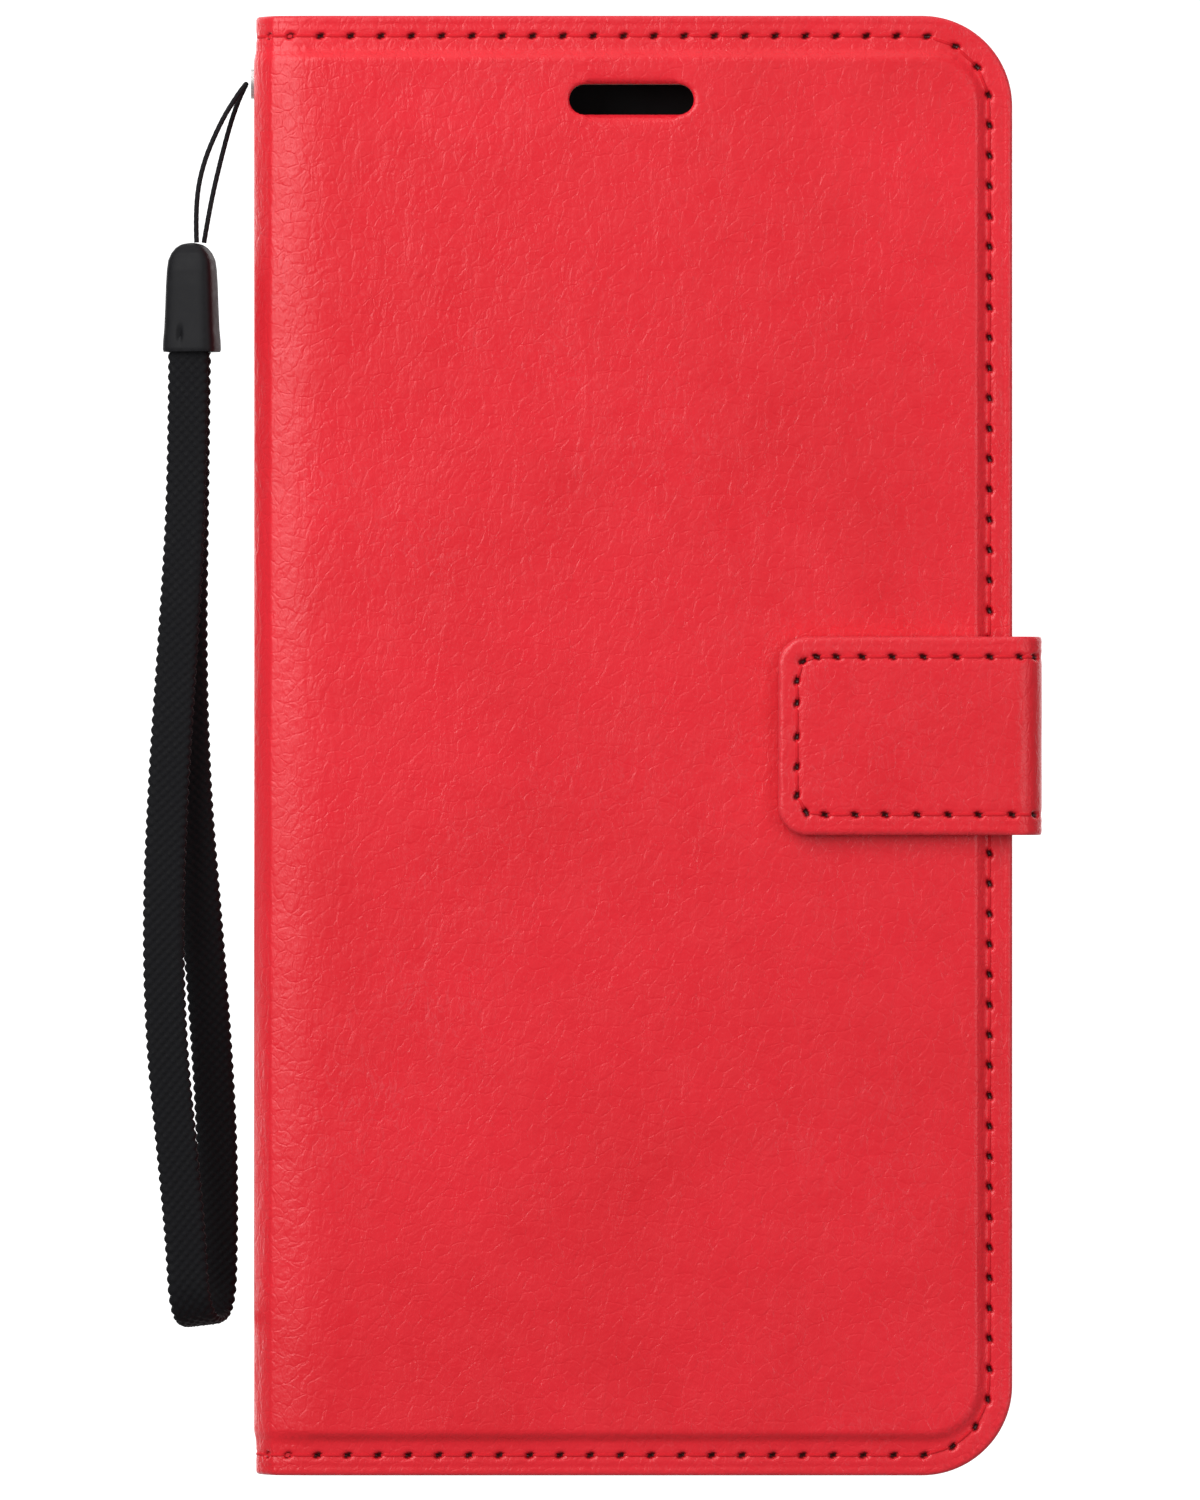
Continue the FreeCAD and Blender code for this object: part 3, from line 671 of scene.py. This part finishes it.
def cover_leather(name, fold, relief, holes, hides):
    """Half the spine, the fold and one cover, with a raised panel, a sewn margin and cut-outs.

    Gives the places of the sewing holes and the face's height, for the thread.
    """
    right = fold.bend_end - CREASE_RADIUS + COVER_EDGE - SPINE_FACE
    outline = (right, 0.0, HEIGHT, CORNER)
    left_edge = [(0.0, z) for z in np.linspace(0, EYELET_Z - EYELET_NOTCH, 110)]
    left_edge += eyelet_notch(14)
    left_edge += [(0.0, z) for z in np.linspace(EYELET_Z + EYELET_NOTCH, HEIGHT, 8)[:-1]]
    loops = [left_edge + round_track(0, right, 0, HEIGHT, CORNER, 0.6)]
    loops += [rounded_loop(*hole) for hole in holes]
    seam = round_track(1.4, right - SEAM_SIDE, SEAM_TOP, HEIGHT - SEAM_TOP, SEAM_CORNER, 0.2)
    spots = stitch_spots(seam)
    extra = []
    for inset, step in COVER_EDGE_ROWS:
        extra += round_track(0.6, right - inset, inset, HEIGHT - inset, CORNER - inset, step)
    for inset in MARGIN_ROWS:
        extra += round_track(0.6, right + MARGIN_SHIFT - inset, inset, HEIGHT - inset, CORNER - inset, 0.9)
    for offset in SEAM_ROWS:
        extra += round_track(1.0, right - SEAM_SIDE + offset, SEAM_TOP - offset, HEIGHT - SEAM_TOP + offset,
                             SEAM_CORNER + offset, 0.19)
    extra += grid(0.7, CREASED_WIDTH, 7.0, HEIGHT - 7.0, 0.22, 1.6)
    end_rows = [*END_ROWS, *(HEIGHT - z for z in END_ROWS[::-1])]
    extra += [(p, z) for p in np.arange(0.7, CREASED_WIDTH, 0.22) for z in end_rows]
    extra += grid(12.8, right - 7.2, 7.0, HEIGHT - 7.0, 1.3, 1.3)
    for low_p, high_p, low_z, high_z, radius in holes:
        for out in (0.12, 0.3, 0.6):
            extra += rounded_loop(low_p - out, high_p + out, low_z - out, high_z + out, radius + out)
    flat, faces = triangulate(loops, extra, [in_rounded(*hole) for hole in holes])
    profile = fold_profile(fold)

    def margin_drop(p, z):
        """How far the sewn margin lies below the raised panel; it fades towards the spine."""
        fade = 0.30 + 0.70 * smoothstep(p, 5.0, 14.0)
        inside = edge_distance(p, z, right + MARGIN_SHIFT, 0.0, HEIGHT, CORNER)
        return relief * fade * (1 - smoothstep(inside, MARGIN_LOW, MARGIN_HIGH))

    def panel(p, z):
        """The face without sewing holes, with its edges rounded over and a furrow along the seam."""
        inside = edge_distance(p, z, *outline)
        height = -margin_drop(p, z) - rounded_over(inside, COVER_LIP, COVER_LIP_DROP)
        height = height - 0.06 * np.exp(-((inside - 1.0) / 0.22) ** 2) + np.interp(p, *profile)
        calm = smoothstep(inside, 5.5, 12.0) * smoothstep(p, 12.0, 22.0)
        height = height + ripple(p, z) * calm
        seam_in = edge_distance(p, z, right - SEAM_SIDE, SEAM_TOP, HEIGHT - SEAM_TOP, SEAM_CORNER)
        return height - SEAM_FURROW * np.exp(-(seam_in / FURROW_WIDE) ** 2)

    p, z = flat[:, 0], flat[:, 1]
    # dark is the painted shade in the cover's sewing holes.
    depth, dark = sewing(p, z, spots)
    outer = panel(p, z) - depth
    inner = -margin_drop(p, z) - LEATHER
    for low_p, high_p, low_z, high_z, radius in holes:
        dx = np.maximum(np.maximum(low_p + radius - p, p - high_p + radius), 0)
        dz = np.maximum(np.maximum(low_z + radius - z, z - high_z + radius), 0)
        away = np.clip(1 - (np.hypot(dx, dz) - radius) / 0.35, 0, 1)
        outer = outer - 0.25 * away ** 2
    points, all_faces, used = thick_sheet(fold, flat, faces, outer, inner)
    # The edge mask paints a highlight along the rims of the cover.
    rim = np.clip(1 - edge_distance(p, z, *outline) / PAINTED_RIM, 0, 1)
    piece = finish_piece(name, points, all_faces, "red_leather", hides=hides,
                         masks={"edge": painted(rim, used), "hole": outside_only(dark, used)})
    start, end = fold.blend_ends()
    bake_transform(piece)
    return spots, panel


def sew(name, fold, spots, surface, hides):
    """The thread of one seam, over a face and through its holes."""
    points, faces = thread_tubes(fold, spots, surface)
    piece = finish_piece(name, points, faces, "red_thread", hides=hides)
    start, end = fold.blend_ends()
    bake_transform(piece)


def box_hole(fold, low, high, radius):
    """A cut-out's place in the sheet's own plane, from its corners in the frame."""
    a, b = sorted((fold.to_p(low[0]), fold.to_p(high[0])))
    return (a, b, low[1], high[1], radius)


# Low corner, high corner, and radius, in X and Z.
SLOT = ((-8.65, 153.75), (5.45, 157.25), 1.74)
CAMERA_HOLE = ((9.0, 114.0), (33.0, 152.0), 6.0)
FRONT_RELIEF, REAR_RELIEF = 0.8, 0.7
front_spots, front_panel = cover_leather("front_leather", FRONT_FOLD, FRONT_RELIEF,
                                         [box_hole(FRONT_FOLD, *SLOT)],
                                         ("front_skin", "spine_skin"))
rear_spots, rear_panel = cover_leather("rear_leather", REAR_FOLD, REAR_RELIEF,
                                       [box_hole(REAR_FOLD, *CAMERA_HOLE)],
                                       ("rear_skin", "rear_fold"))
sew("front_thread", FRONT_FOLD, front_spots, front_panel, ("front_stitching",))
sew("rear_thread", REAR_FOLD, rear_spots, rear_panel, ("rear_stitching",))


# ---- Clasp: tab and strap leather, bent round the two folds of the strap ----

TAB_THICK = 1.5
TAB_SEAM = 2.3
TAB_SEAM_CORNER = 2.2
ROOT_END = 41.0
TONGUE_SUNK = 0.6
# The tab's sewing holes, in order round its three sides: X along the top, Z down the end, X back.
TAB_TOP_HOLES = (44.3, 42.2, 38.8, 35.0, 31.3, 27.8, 24.4, 21.5, 19.3)
TAB_END_HOLES = (89.8, 87.3, 83.5, 80.1, 76.9)
TAB_BOTTOM_HOLES = (20.2, 23.6, 27.0, 30.6, 34.1, 37.5, 41.3, 44.3)
TAB_EDGE_ROWS = (0.12, 0.3, 0.55, 0.9, 1.3)
STRAP_EDGE_ROWS = TAB_EDGE_ROWS[:-1]


def tab_spots(fold, right):
    """The tab's hole places and headings, with one more hole in each corner."""
    low, high, end = CLASP_LOW + TAB_SEAM, CLASP_HIGH - TAB_SEAM, right - TAB_SEAM + 0.2
    top = [(fold.to_p(x), high, 0.0) for x in TAB_TOP_HOLES]
    side = [(end, z, -math.pi / 2) for z in TAB_END_HOLES]
    bottom = [(fold.to_p(x), low, math.pi) for x in TAB_BOTTOM_HOLES]
    return np.array([*top, (end - 0.7, high - 0.5, -0.8), *side, (end - 1.0, low + 0.3, -2.3), *bottom])


def tab_leather():
    """From the middle of the strap's side wall round to the tab's end, with its seam and thread."""
    fold = TAB_FOLD
    right = fold.to_p(TAB_END)
    outline = (right, CLASP_LOW, CLASP_HIGH, TAB_CORNER)
    loop = [(0.0, z) for z in np.linspace(CLASP_LOW, CLASP_HIGH, 40)[:-1]]
    loop += round_track(0, right, CLASP_LOW, CLASP_HIGH, TAB_CORNER, 0.4)
    spots = tab_spots(fold, right)
    extra = []
    for inset in TAB_EDGE_ROWS:
        extra += round_track(0.5, right - inset, CLASP_LOW + inset, CLASP_HIGH - inset,
                             TAB_CORNER - inset, 0.45)
    for offset in SEAM_ROWS:
        inset = TAB_SEAM - offset
        extra += round_track(0.6, right - inset, CLASP_LOW + inset, CLASP_HIGH - inset,
                             TAB_SEAM_CORNER + offset, 0.19)
    extra += grid(0.8, right - 4.2, CLASP_LOW + 3.6, CLASP_HIGH - 3.6, 0.5, 0.9)
    flat, faces = triangulate([loop], extra, [])

    def face(p, z):
        """The tab's face without sewing holes, its edges rounded over less beside the fold."""
        inside = edge_distance(p, z, *outline)
        share = 0.35 + 0.65 * smoothstep(p, fold.bend_end, fold.bend_end + 3)
        height = -rounded_over(inside, STRAP_LIP, STRAP_LIP_DROP) * share
        seam_in = edge_distance(p, z, right - TAB_SEAM, CLASP_LOW + TAB_SEAM, CLASP_HIGH - TAB_SEAM,
                                TAB_SEAM_CORNER)
        height = height - 0.07 * np.exp(-(seam_in / 0.5) ** 2) - 0.06 * np.exp(-((inside - 1.1) / 0.25) ** 2)
        return height + 0.5 * ripple(p * 2, z * 2) * smoothstep(inside, 3.5, 6.0)

    p, z = flat[:, 0], flat[:, 1]
    # dark is the painted shade in the tab's sewing holes.
    depth, dark = sewing(p, z, spots)
    outer = face(p, z) - depth
    inner = -STRAP - (TAB_THICK - STRAP) * smoothstep(p, fold.bend_end - 1, fold.bend_end)
    points, all_faces, used = thick_sheet(fold, flat, faces, outer, inner)
    # The edge mask paints a highlight along the rims of the tab.
    rim = np.clip(1 - edge_distance(p, z, *outline) / PAINTED_RIM, 0, 1)
    piece = finish_piece("tab_leather", points, all_faces, "red_leather", hides=("tab_skin",),
                         masks={"edge": painted(rim, used), "hole": outside_only(dark, used)})
    start, end = fold.blend_ends()
    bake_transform(piece)
    sew("tab_thread", fold, spots, face, ("tab_stitching",))


def strap_leather():
    """From the middle of the strap's side wall round to the tongue that is sewn into the rear cover."""
    fold = STRAP_FOLD
    right = fold.to_p(ROOT_END)
    loop = [(0.0, z) for z in np.linspace(CLASP_LOW, CLASP_HIGH, 40)[:-1]]
    loop += [(p, CLASP_HIGH) for p in np.linspace(0, right, 30)[:-1]]
    loop += [(right, z) for z in np.linspace(CLASP_HIGH, CLASP_LOW, 40)[:-1]]
    loop += [(p, CLASP_LOW) for p in np.linspace(right, 0, 30)[:-1]]
    extra = []
    for inset in STRAP_EDGE_ROWS:
        row = (CLASP_LOW + inset, CLASP_HIGH - inset)
        extra += [(p, z) for p in np.linspace(0.3, right - 0.3, 34) for z in row]
    extra += grid(0.4, right - 0.3, CLASP_LOW + 1.4, CLASP_HIGH - 1.4, 0.35, 0.9)
    flat, faces = triangulate([loop], extra, [])
    p, z = flat[:, 0], flat[:, 1]
    inside = np.minimum(z - CLASP_LOW, CLASP_HIGH - z)
    thin = smoothstep(p, fold.bend_end - 0.4, fold.to_p(COVER_EDGE))
    outer = -rounded_over(inside, STRAP_LIP, STRAP_LIP_DROP) * (1 - thin) - TONGUE_SUNK * thin
    points, all_faces, used = thick_sheet(fold, flat, faces, outer, -STRAP)
    # The edge mask paints a highlight along the rims of the strap.
    rim = np.clip(1 - inside / PAINTED_RIM, 0, 1)
    piece = finish_piece("strap_leather", points, all_faces, "red_leather",
                         hides=("clasp_side", "clasp_root"), masks={"edge": painted(rim, used)})
    start, end = fold.blend_ends()
    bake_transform(piece)


LINING_INSET, LINING_GAP = 0.2, 0.02
SPINE_LINING, FRONT_LINING, REAR_LINING = 0.5, 0.5, 0.4


def fold_lining(name, fold, relief, cover_lining, hides):
    """The lining across a fold: from the middle of the spine to where the cover's flat lining begins."""
    right = fold.bend_end + 0.5
    low, high = LINING_INSET, HEIGHT - LINING_INSET
    loop = [(0.0, z) for z in np.linspace(low, EYELET_Z - EYELET_NOTCH, 90)]
    loop += eyelet_notch(12)
    loop += [(0.0, z) for z in np.linspace(EYELET_Z + EYELET_NOTCH, high, 7)]
    loop += [(p, high) for p in np.linspace(0, right, 24)[1:]]
    loop += [(right, z) for z in np.linspace(high, low, 100)[1:]]
    loop += [(p, low) for p in np.linspace(right, 0, 24)[1:-1]]
    flat, faces = triangulate([loop], grid(0.7, right - 0.4, 1.8, HEIGHT - 1.8, 0.45, 1.7), [])
    p = flat[:, 0]
    slope = smoothstep(p, fold.flat, fold.bend_end)
    outer = -LEATHER - LINING_GAP - relief * slope
    inner = -LEATHER - SPINE_LINING - (relief + cover_lining - SPINE_LINING) * slope
    points, all_faces = thick_sheet(fold, flat, faces, outer, inner)[:2]
    piece = finish_piece(name, points, all_faces, "red_lining", hides=hides)
    start, end = fold.blend_ends()
    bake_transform(piece)


tab_leather()
strap_leather()
fold_lining("front_fold_lining", FRONT_FOLD, FRONT_RELIEF, FRONT_LINING,
            ("spine_lining",))
fold_lining("rear_fold_lining", REAR_FOLD, REAR_RELIEF, REAR_LINING, ())

# ---- Lanyard ----

# X, how far in front of or behind the eyelet's middle, and Z.
CORD_ROUTE = [
    (-50.95, -0.50, 139.6), (-51.10, -0.60, 143.6), (-50.30, -0.70, 148.4), (-48.20, -0.75, 153.3),
    (-46.40, -0.72, 156.2), (-45.35, -0.70, 157.6), (-45.35, 0.70, 157.6), (-46.20, 0.72, 155.9),
    (-47.20, 0.70, 153.0), (-48.40, 0.62, 148.4), (-49.45, 0.55, 143.8), (-50.15, 0.50, 139.6),
]
WEBBING_ROUTE = [
    (-51.85, -1.0, 127.2), (-51.95, -1.1, 112.0), (-52.90, -1.6, 96.0), (-54.00, -2.4, 80.0),
    (-54.70, -3.3, 63.5), (-54.30, -4.2, 49.0), (-53.10, -4.7, 37.5), (-52.10, -5.0, 27.5),
    (-51.50, -5.0, 17.2), (-49.00, 5.0, 17.2), (-48.70, 5.0, 27.5), (-48.80, 4.7, 38.0),
    (-49.50, 4.0, 50.0), (-50.50, 3.1, 63.0), (-51.70, 2.2, 77.0), (-52.20, 1.5, 93.0),
    (-51.90, 1.1, 110.5), (-51.70, 1.0, 127.2),
]
CORD_DIAMETER = 0.6
WEBBING_WIDTH = 4.6
WEBBING_THICKNESS = 1.1
CORD_TWIST = 2.6
WEAVE_PITCH = 0.56
WEFT_PITCH = 1.15
CAP_CENTRE = -51.5
CAP_LOW = 127.2
CAP_TURN = math.radians(-16)
CAP_SQUARENESS = 4.4
# Half widths along X and Y at heights above the cap's foot, outside, and then down inside its mouth.
CAP_OUTSIDE = [
    (0.00, 3.00, 2.36), (0.25, 3.08, 2.44), (1.3, 3.04, 2.42), (2.6, 2.92, 2.36), (5.0, 2.82, 2.28),
    (7.5, 2.74, 2.22), (9.3, 2.64, 2.14), (10.4, 2.50, 1.98), (11.2, 2.16, 1.74), (11.8, 1.70, 1.40),
    (12.15, 1.20, 1.02), (12.35, 0.60, 0.52), (12.4, 0.12, 0.10),
]
CAP_MOUTH = [(0.0, 2.62, 1.86), (0.35, 2.56, 1.80), (2.2, 2.50, 1.74), (2.21, 0.05, 0.05)]


def follow(route, per_run):
    """Points along the route's smooth line, in millimetres, and its length."""
    curve = bpy.data.curves.new("route", "CURVE")
    curve.dimensions = "3D"
    spline = curve.splines.new("NURBS")
    spline.points.add(len(route) - 1)
    for point, (x, across, z) in zip(spline.points, route):
        point.co = (x * MM, (EYELET_Y + across) * MM, z * MM, 1)
    spline.order_u = 3
    spline.use_endpoint_u = True
    spline.resolution_u = per_run
    holder = bpy.data.objects.new("route", curve)
    mesh = bpy.data.meshes.new_from_object(holder)
    line = np.array([tuple(vertex.co) for vertex in mesh.vertices]) / MM
    bpy.data.objects.remove(holder)
    bpy.data.meshes.remove(mesh)
    return line, distances(line)[-1]


def distances(line):
    """How far along a line each of its points is."""
    return np.concatenate([[0], np.cumsum(np.linalg.norm(np.diff(line, axis=0), axis=1))])


def evenly(line, step):
    """Points about one step apart along a line, and how far along each is."""
    travel = distances(line)
    wanted = np.linspace(0, travel[-1], max(2, round(travel[-1] / step)))
    return np.stack([np.interp(wanted, travel, line[:, axis]) for axis in range(3)], axis=-1), wanted


def unit(vectors):
    return vectors / np.linalg.norm(vectors, axis=-1, keepdims=True)


def ring_faces(count, sides, rows):
    """Faces from each of the first rows of rings to the ring after it; after the last comes the first."""
    return [(r * sides + i, r * sides + (i + 1) % sides,
             (r + 1) % count * sides + (i + 1) % sides, (r + 1) % count * sides + i)
            for r in range(rows) for i in range(sides)]


def ring_mesh(rings):
    """Points and faces of a closed tube through rings of points, capped at both ends."""
    count, sides = rings.shape[:2]
    faces = ring_faces(count, sides, count - 1)
    faces.append(tuple(range(sides))[::-1])
    faces.append(tuple((count - 1) * sides + i for i in range(sides)))
    return rings.reshape(-1, 3), faces


def lanyard_cord():
    """Thin twisted cord: a round section with three shallow strands turning round it."""
    line, length = follow(CORD_ROUTE, 24)
    centre, travel = evenly(line, 0.12)
    tangent = unit(np.gradient(centre, axis=0))
    side = unit(np.cross(tangent, np.broadcast_to([0.25, 1.0, 0.1], tangent.shape)))
    up = np.cross(side, tangent)
    angle = np.linspace(0, 2 * math.pi, 13)[:-1]
    twist = travel[:, None] * CORD_TWIST
    radius = CORD_DIAMETER / 2 * (0.90 + 0.10 * np.abs(np.cos(1.5 * (angle[None, :] - twist))))
    rings = centre[:, None] + radius[..., None] * (np.cos(angle)[None, :, None] * side[:, None]
                                                   + np.sin(angle)[None, :, None] * up[:, None])
    points, faces = ring_mesh(rings)
    piece = finish_piece("cord_loop", points, faces, "black_cord", "lanyard", ("lanyard_cord",))
    return piece, line, length


def lanyard_webbing():
    """Flat woven band: a diagonal basket weave on both faces and small loops of weft along both edges."""
    line, length = follow(WEBBING_ROUTE, 24)
    centre, travel = evenly(line, 0.16)
    tangent = unit(np.gradient(centre, axis=0))
    side = np.broadcast_to([1.0, 0.0, 0.0], tangent.shape)
    share = travel / travel[-1]
    turn = 0.16 * np.cos(2 * math.pi * share) + 0.04
    side = side * np.cos(turn)[:, None] + np.cross(tangent, side) * np.sin(turn)[:, None]
    side = unit(side - tangent * (side * tangent).sum(axis=1, keepdims=True))
    out = np.cross(tangent, side)
    columns = np.linspace(-1, 1, 25)
    scallop = 0.26 * (np.abs(np.sin(math.pi * travel / WEFT_PITCH)) - 0.6)
    half = WEBBING_WIDTH / 2 + scallop
    across = columns[None, :] * half[:, None]
    fall = np.sqrt(np.clip(1 - np.abs(columns) ** 6, 0, 1))[None, :]
    rib = math.pi / WEAVE_PITCH
    u, v = across * rib, travel[:, None] * rib
    weave = np.abs(np.sin((u + v) / 2)) * np.abs(np.sin((u - v) / 2))
    thick = ((WEBBING_THICKNESS / 2 - 0.16) * fall + 0.20 * weave * fall + 0.02)[..., None] * out[:, None]
    middle = centre[:, None] + across[..., None] * side[:, None]
    rings = np.concatenate([middle + thick, (middle - thick)[:, ::-1]], axis=1)
    points, faces = ring_mesh(rings)
    piece = finish_piece("webbing_loop", points, faces, "black_webbing", "lanyard", ("lanyard_webbing",))
    return piece, line, length


def lanyard_cap():
    """Moulded cap: an arched top, slightly flared sides, and a hollow mouth for the webbing."""
    outside = np.array(CAP_OUTSIDE)
    inside = np.array(CAP_MOUTH[::-1])
    steps = np.concatenate([np.linspace(0, 9.3, 36), np.linspace(9.4, 12.4, 26)])
    wide = np.concatenate([inside[:, 1], np.interp(steps, outside[:, 0], outside[:, 1])])
    deep = np.concatenate([inside[:, 2], np.interp(steps, outside[:, 0], outside[:, 2])])
    steps = np.concatenate([inside[:, 0], steps])
    angle = np.linspace(0, 2 * math.pi, 4001)
    power = 2 / CAP_SQUARENESS
    shape_x = np.sign(np.cos(angle)) * np.abs(np.cos(angle)) ** power
    shape_y = np.sign(np.sin(angle)) * np.abs(np.sin(angle)) ** power
    travel = distances(np.stack([shape_x, shape_y], axis=-1))
    even = np.linspace(0, travel[-1], 121)[:-1]
    shape_x, shape_y = np.interp(even, travel, shape_x), np.interp(even, travel, shape_y)
    x = wide[:, None] * shape_x
    y = deep[:, None] * shape_y
    z = np.broadcast_to(steps[:, None], x.shape)
    dimple = np.exp(-((x + 0.7) / 0.24) ** 2 - ((z - 2.0) / 0.75) ** 2) * (y < 0)
    y = y + 0.35 * dimple
    rings = np.stack([CAP_CENTRE + x * math.cos(CAP_TURN) - y * math.sin(CAP_TURN),
                      EYELET_Y + x * math.sin(CAP_TURN) + y * math.cos(CAP_TURN), CAP_LOW + z], axis=-1)
    points, faces = ring_mesh(rings)
    return finish_piece("cap", points, faces, "black_plastic", "lanyard", ("lanyard_cap",))


cap = lanyard_cap()
loop, loop_line, loop_length = lanyard_cord()
band, band_line, band_length = lanyard_webbing()


# ---- Pockets: hems along their mouths, sewing below them, and the card window's frame ----

POCKETS = ("bill_pocket", "card_pocket_1", "card_pocket_2", "card_pocket_3")
CARD_WINDOW = (-21.5, 22.5, 26.0, 60.0, 3.0)
HEM_TALL, HEM_PROUD = 1.4, 0.09
ROW_DROP, ROW_PITCH, ROW_STITCH = 2.3, 3.2, 2.3
STITCH_HALF, STITCH_PROUD = 0.16, 0.09
# Rings of the window's frame: how far out from its opening, and the share of the hem's height.
WINDOW_RINGS = ((0.0, 0), (0.25, 0.8), (0.6, 1), (0.95, 0.8), (1.2, 0), (0.6, -1))


def oval_bar(start, end, level, middle, half_tall, proud, rings):
    """Rings of a flat bar along X that stands proud of a pocket's face by half its depth."""
    angle = np.linspace(0, 2 * math.pi, 13)[:-1]
    x = np.linspace(start, end, rings)
    taper = np.sqrt(np.clip(1 - np.abs(np.linspace(-1, 1, rings)) ** 14, 0.02, 1))[:, None]
    return np.stack([np.broadcast_to(x[:, None], (rings, len(angle))),
                     level + proud * np.sin(angle)[None, :] * taper,
                     middle + half_tall * np.cos(angle)[None, :] * taper], axis=-1)


def joined(parts):
    """One set of points and faces from several."""
    points, faces = [], []
    for part_points, part_faces in parts:
        faces += [tuple(index + len(points) for index in face) for face in part_faces]
        points += [tuple(point) for point in part_points]
    return np.array(points), faces


def window_frame():
    """A raised frame round the card window, on the last pocket."""
    left, right, bottom, top, radius = CARD_WINDOW
    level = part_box("card_pocket_3")[1][1] / MM
    rings = []
    for side, out in WINDOW_RINGS:
        corner = radius + side
        loop = rounded_loop(left - side, right + side, bottom - side, top + side, corner, corner * 0.2)
        rings.append([(x, level + out * HEM_PROUD, z) for x, z in loop])
    rings = np.array(rings)
    count, sides = rings.shape[:2]
    return rings.reshape(-1, 3), ring_faces(count, sides, count)


def pocket_details():
    """The hem and the row of stitches of each pocket, and the window's frame."""
    hems, stitches = [], []
    for name in POCKETS:
        low, high = (np.array(corner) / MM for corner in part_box(name))
        hems.append(ring_mesh(oval_bar(low[0] + 0.4, high[0] - 0.4, high[1], high[2] - HEM_TALL / 2 - 0.1,
                                       HEM_TALL / 2, HEM_PROUD, 60)))
        for start in np.arange(low[0] + 1.5, high[0] - 1.5 - ROW_STITCH, ROW_PITCH):
            stitches.append(ring_mesh(oval_bar(start, start + ROW_STITCH, high[1], high[2] - ROW_DROP,
                                               STITCH_HALF, STITCH_PROUD, 7)))
    hems.append(window_frame())
    finish_piece("pocket_hems", *joined(hems), "red_leather", "front_cover")
    finish_piece("pocket_sewing", *joined(stitches), "red_thread", "front_cover")


pocket_details()
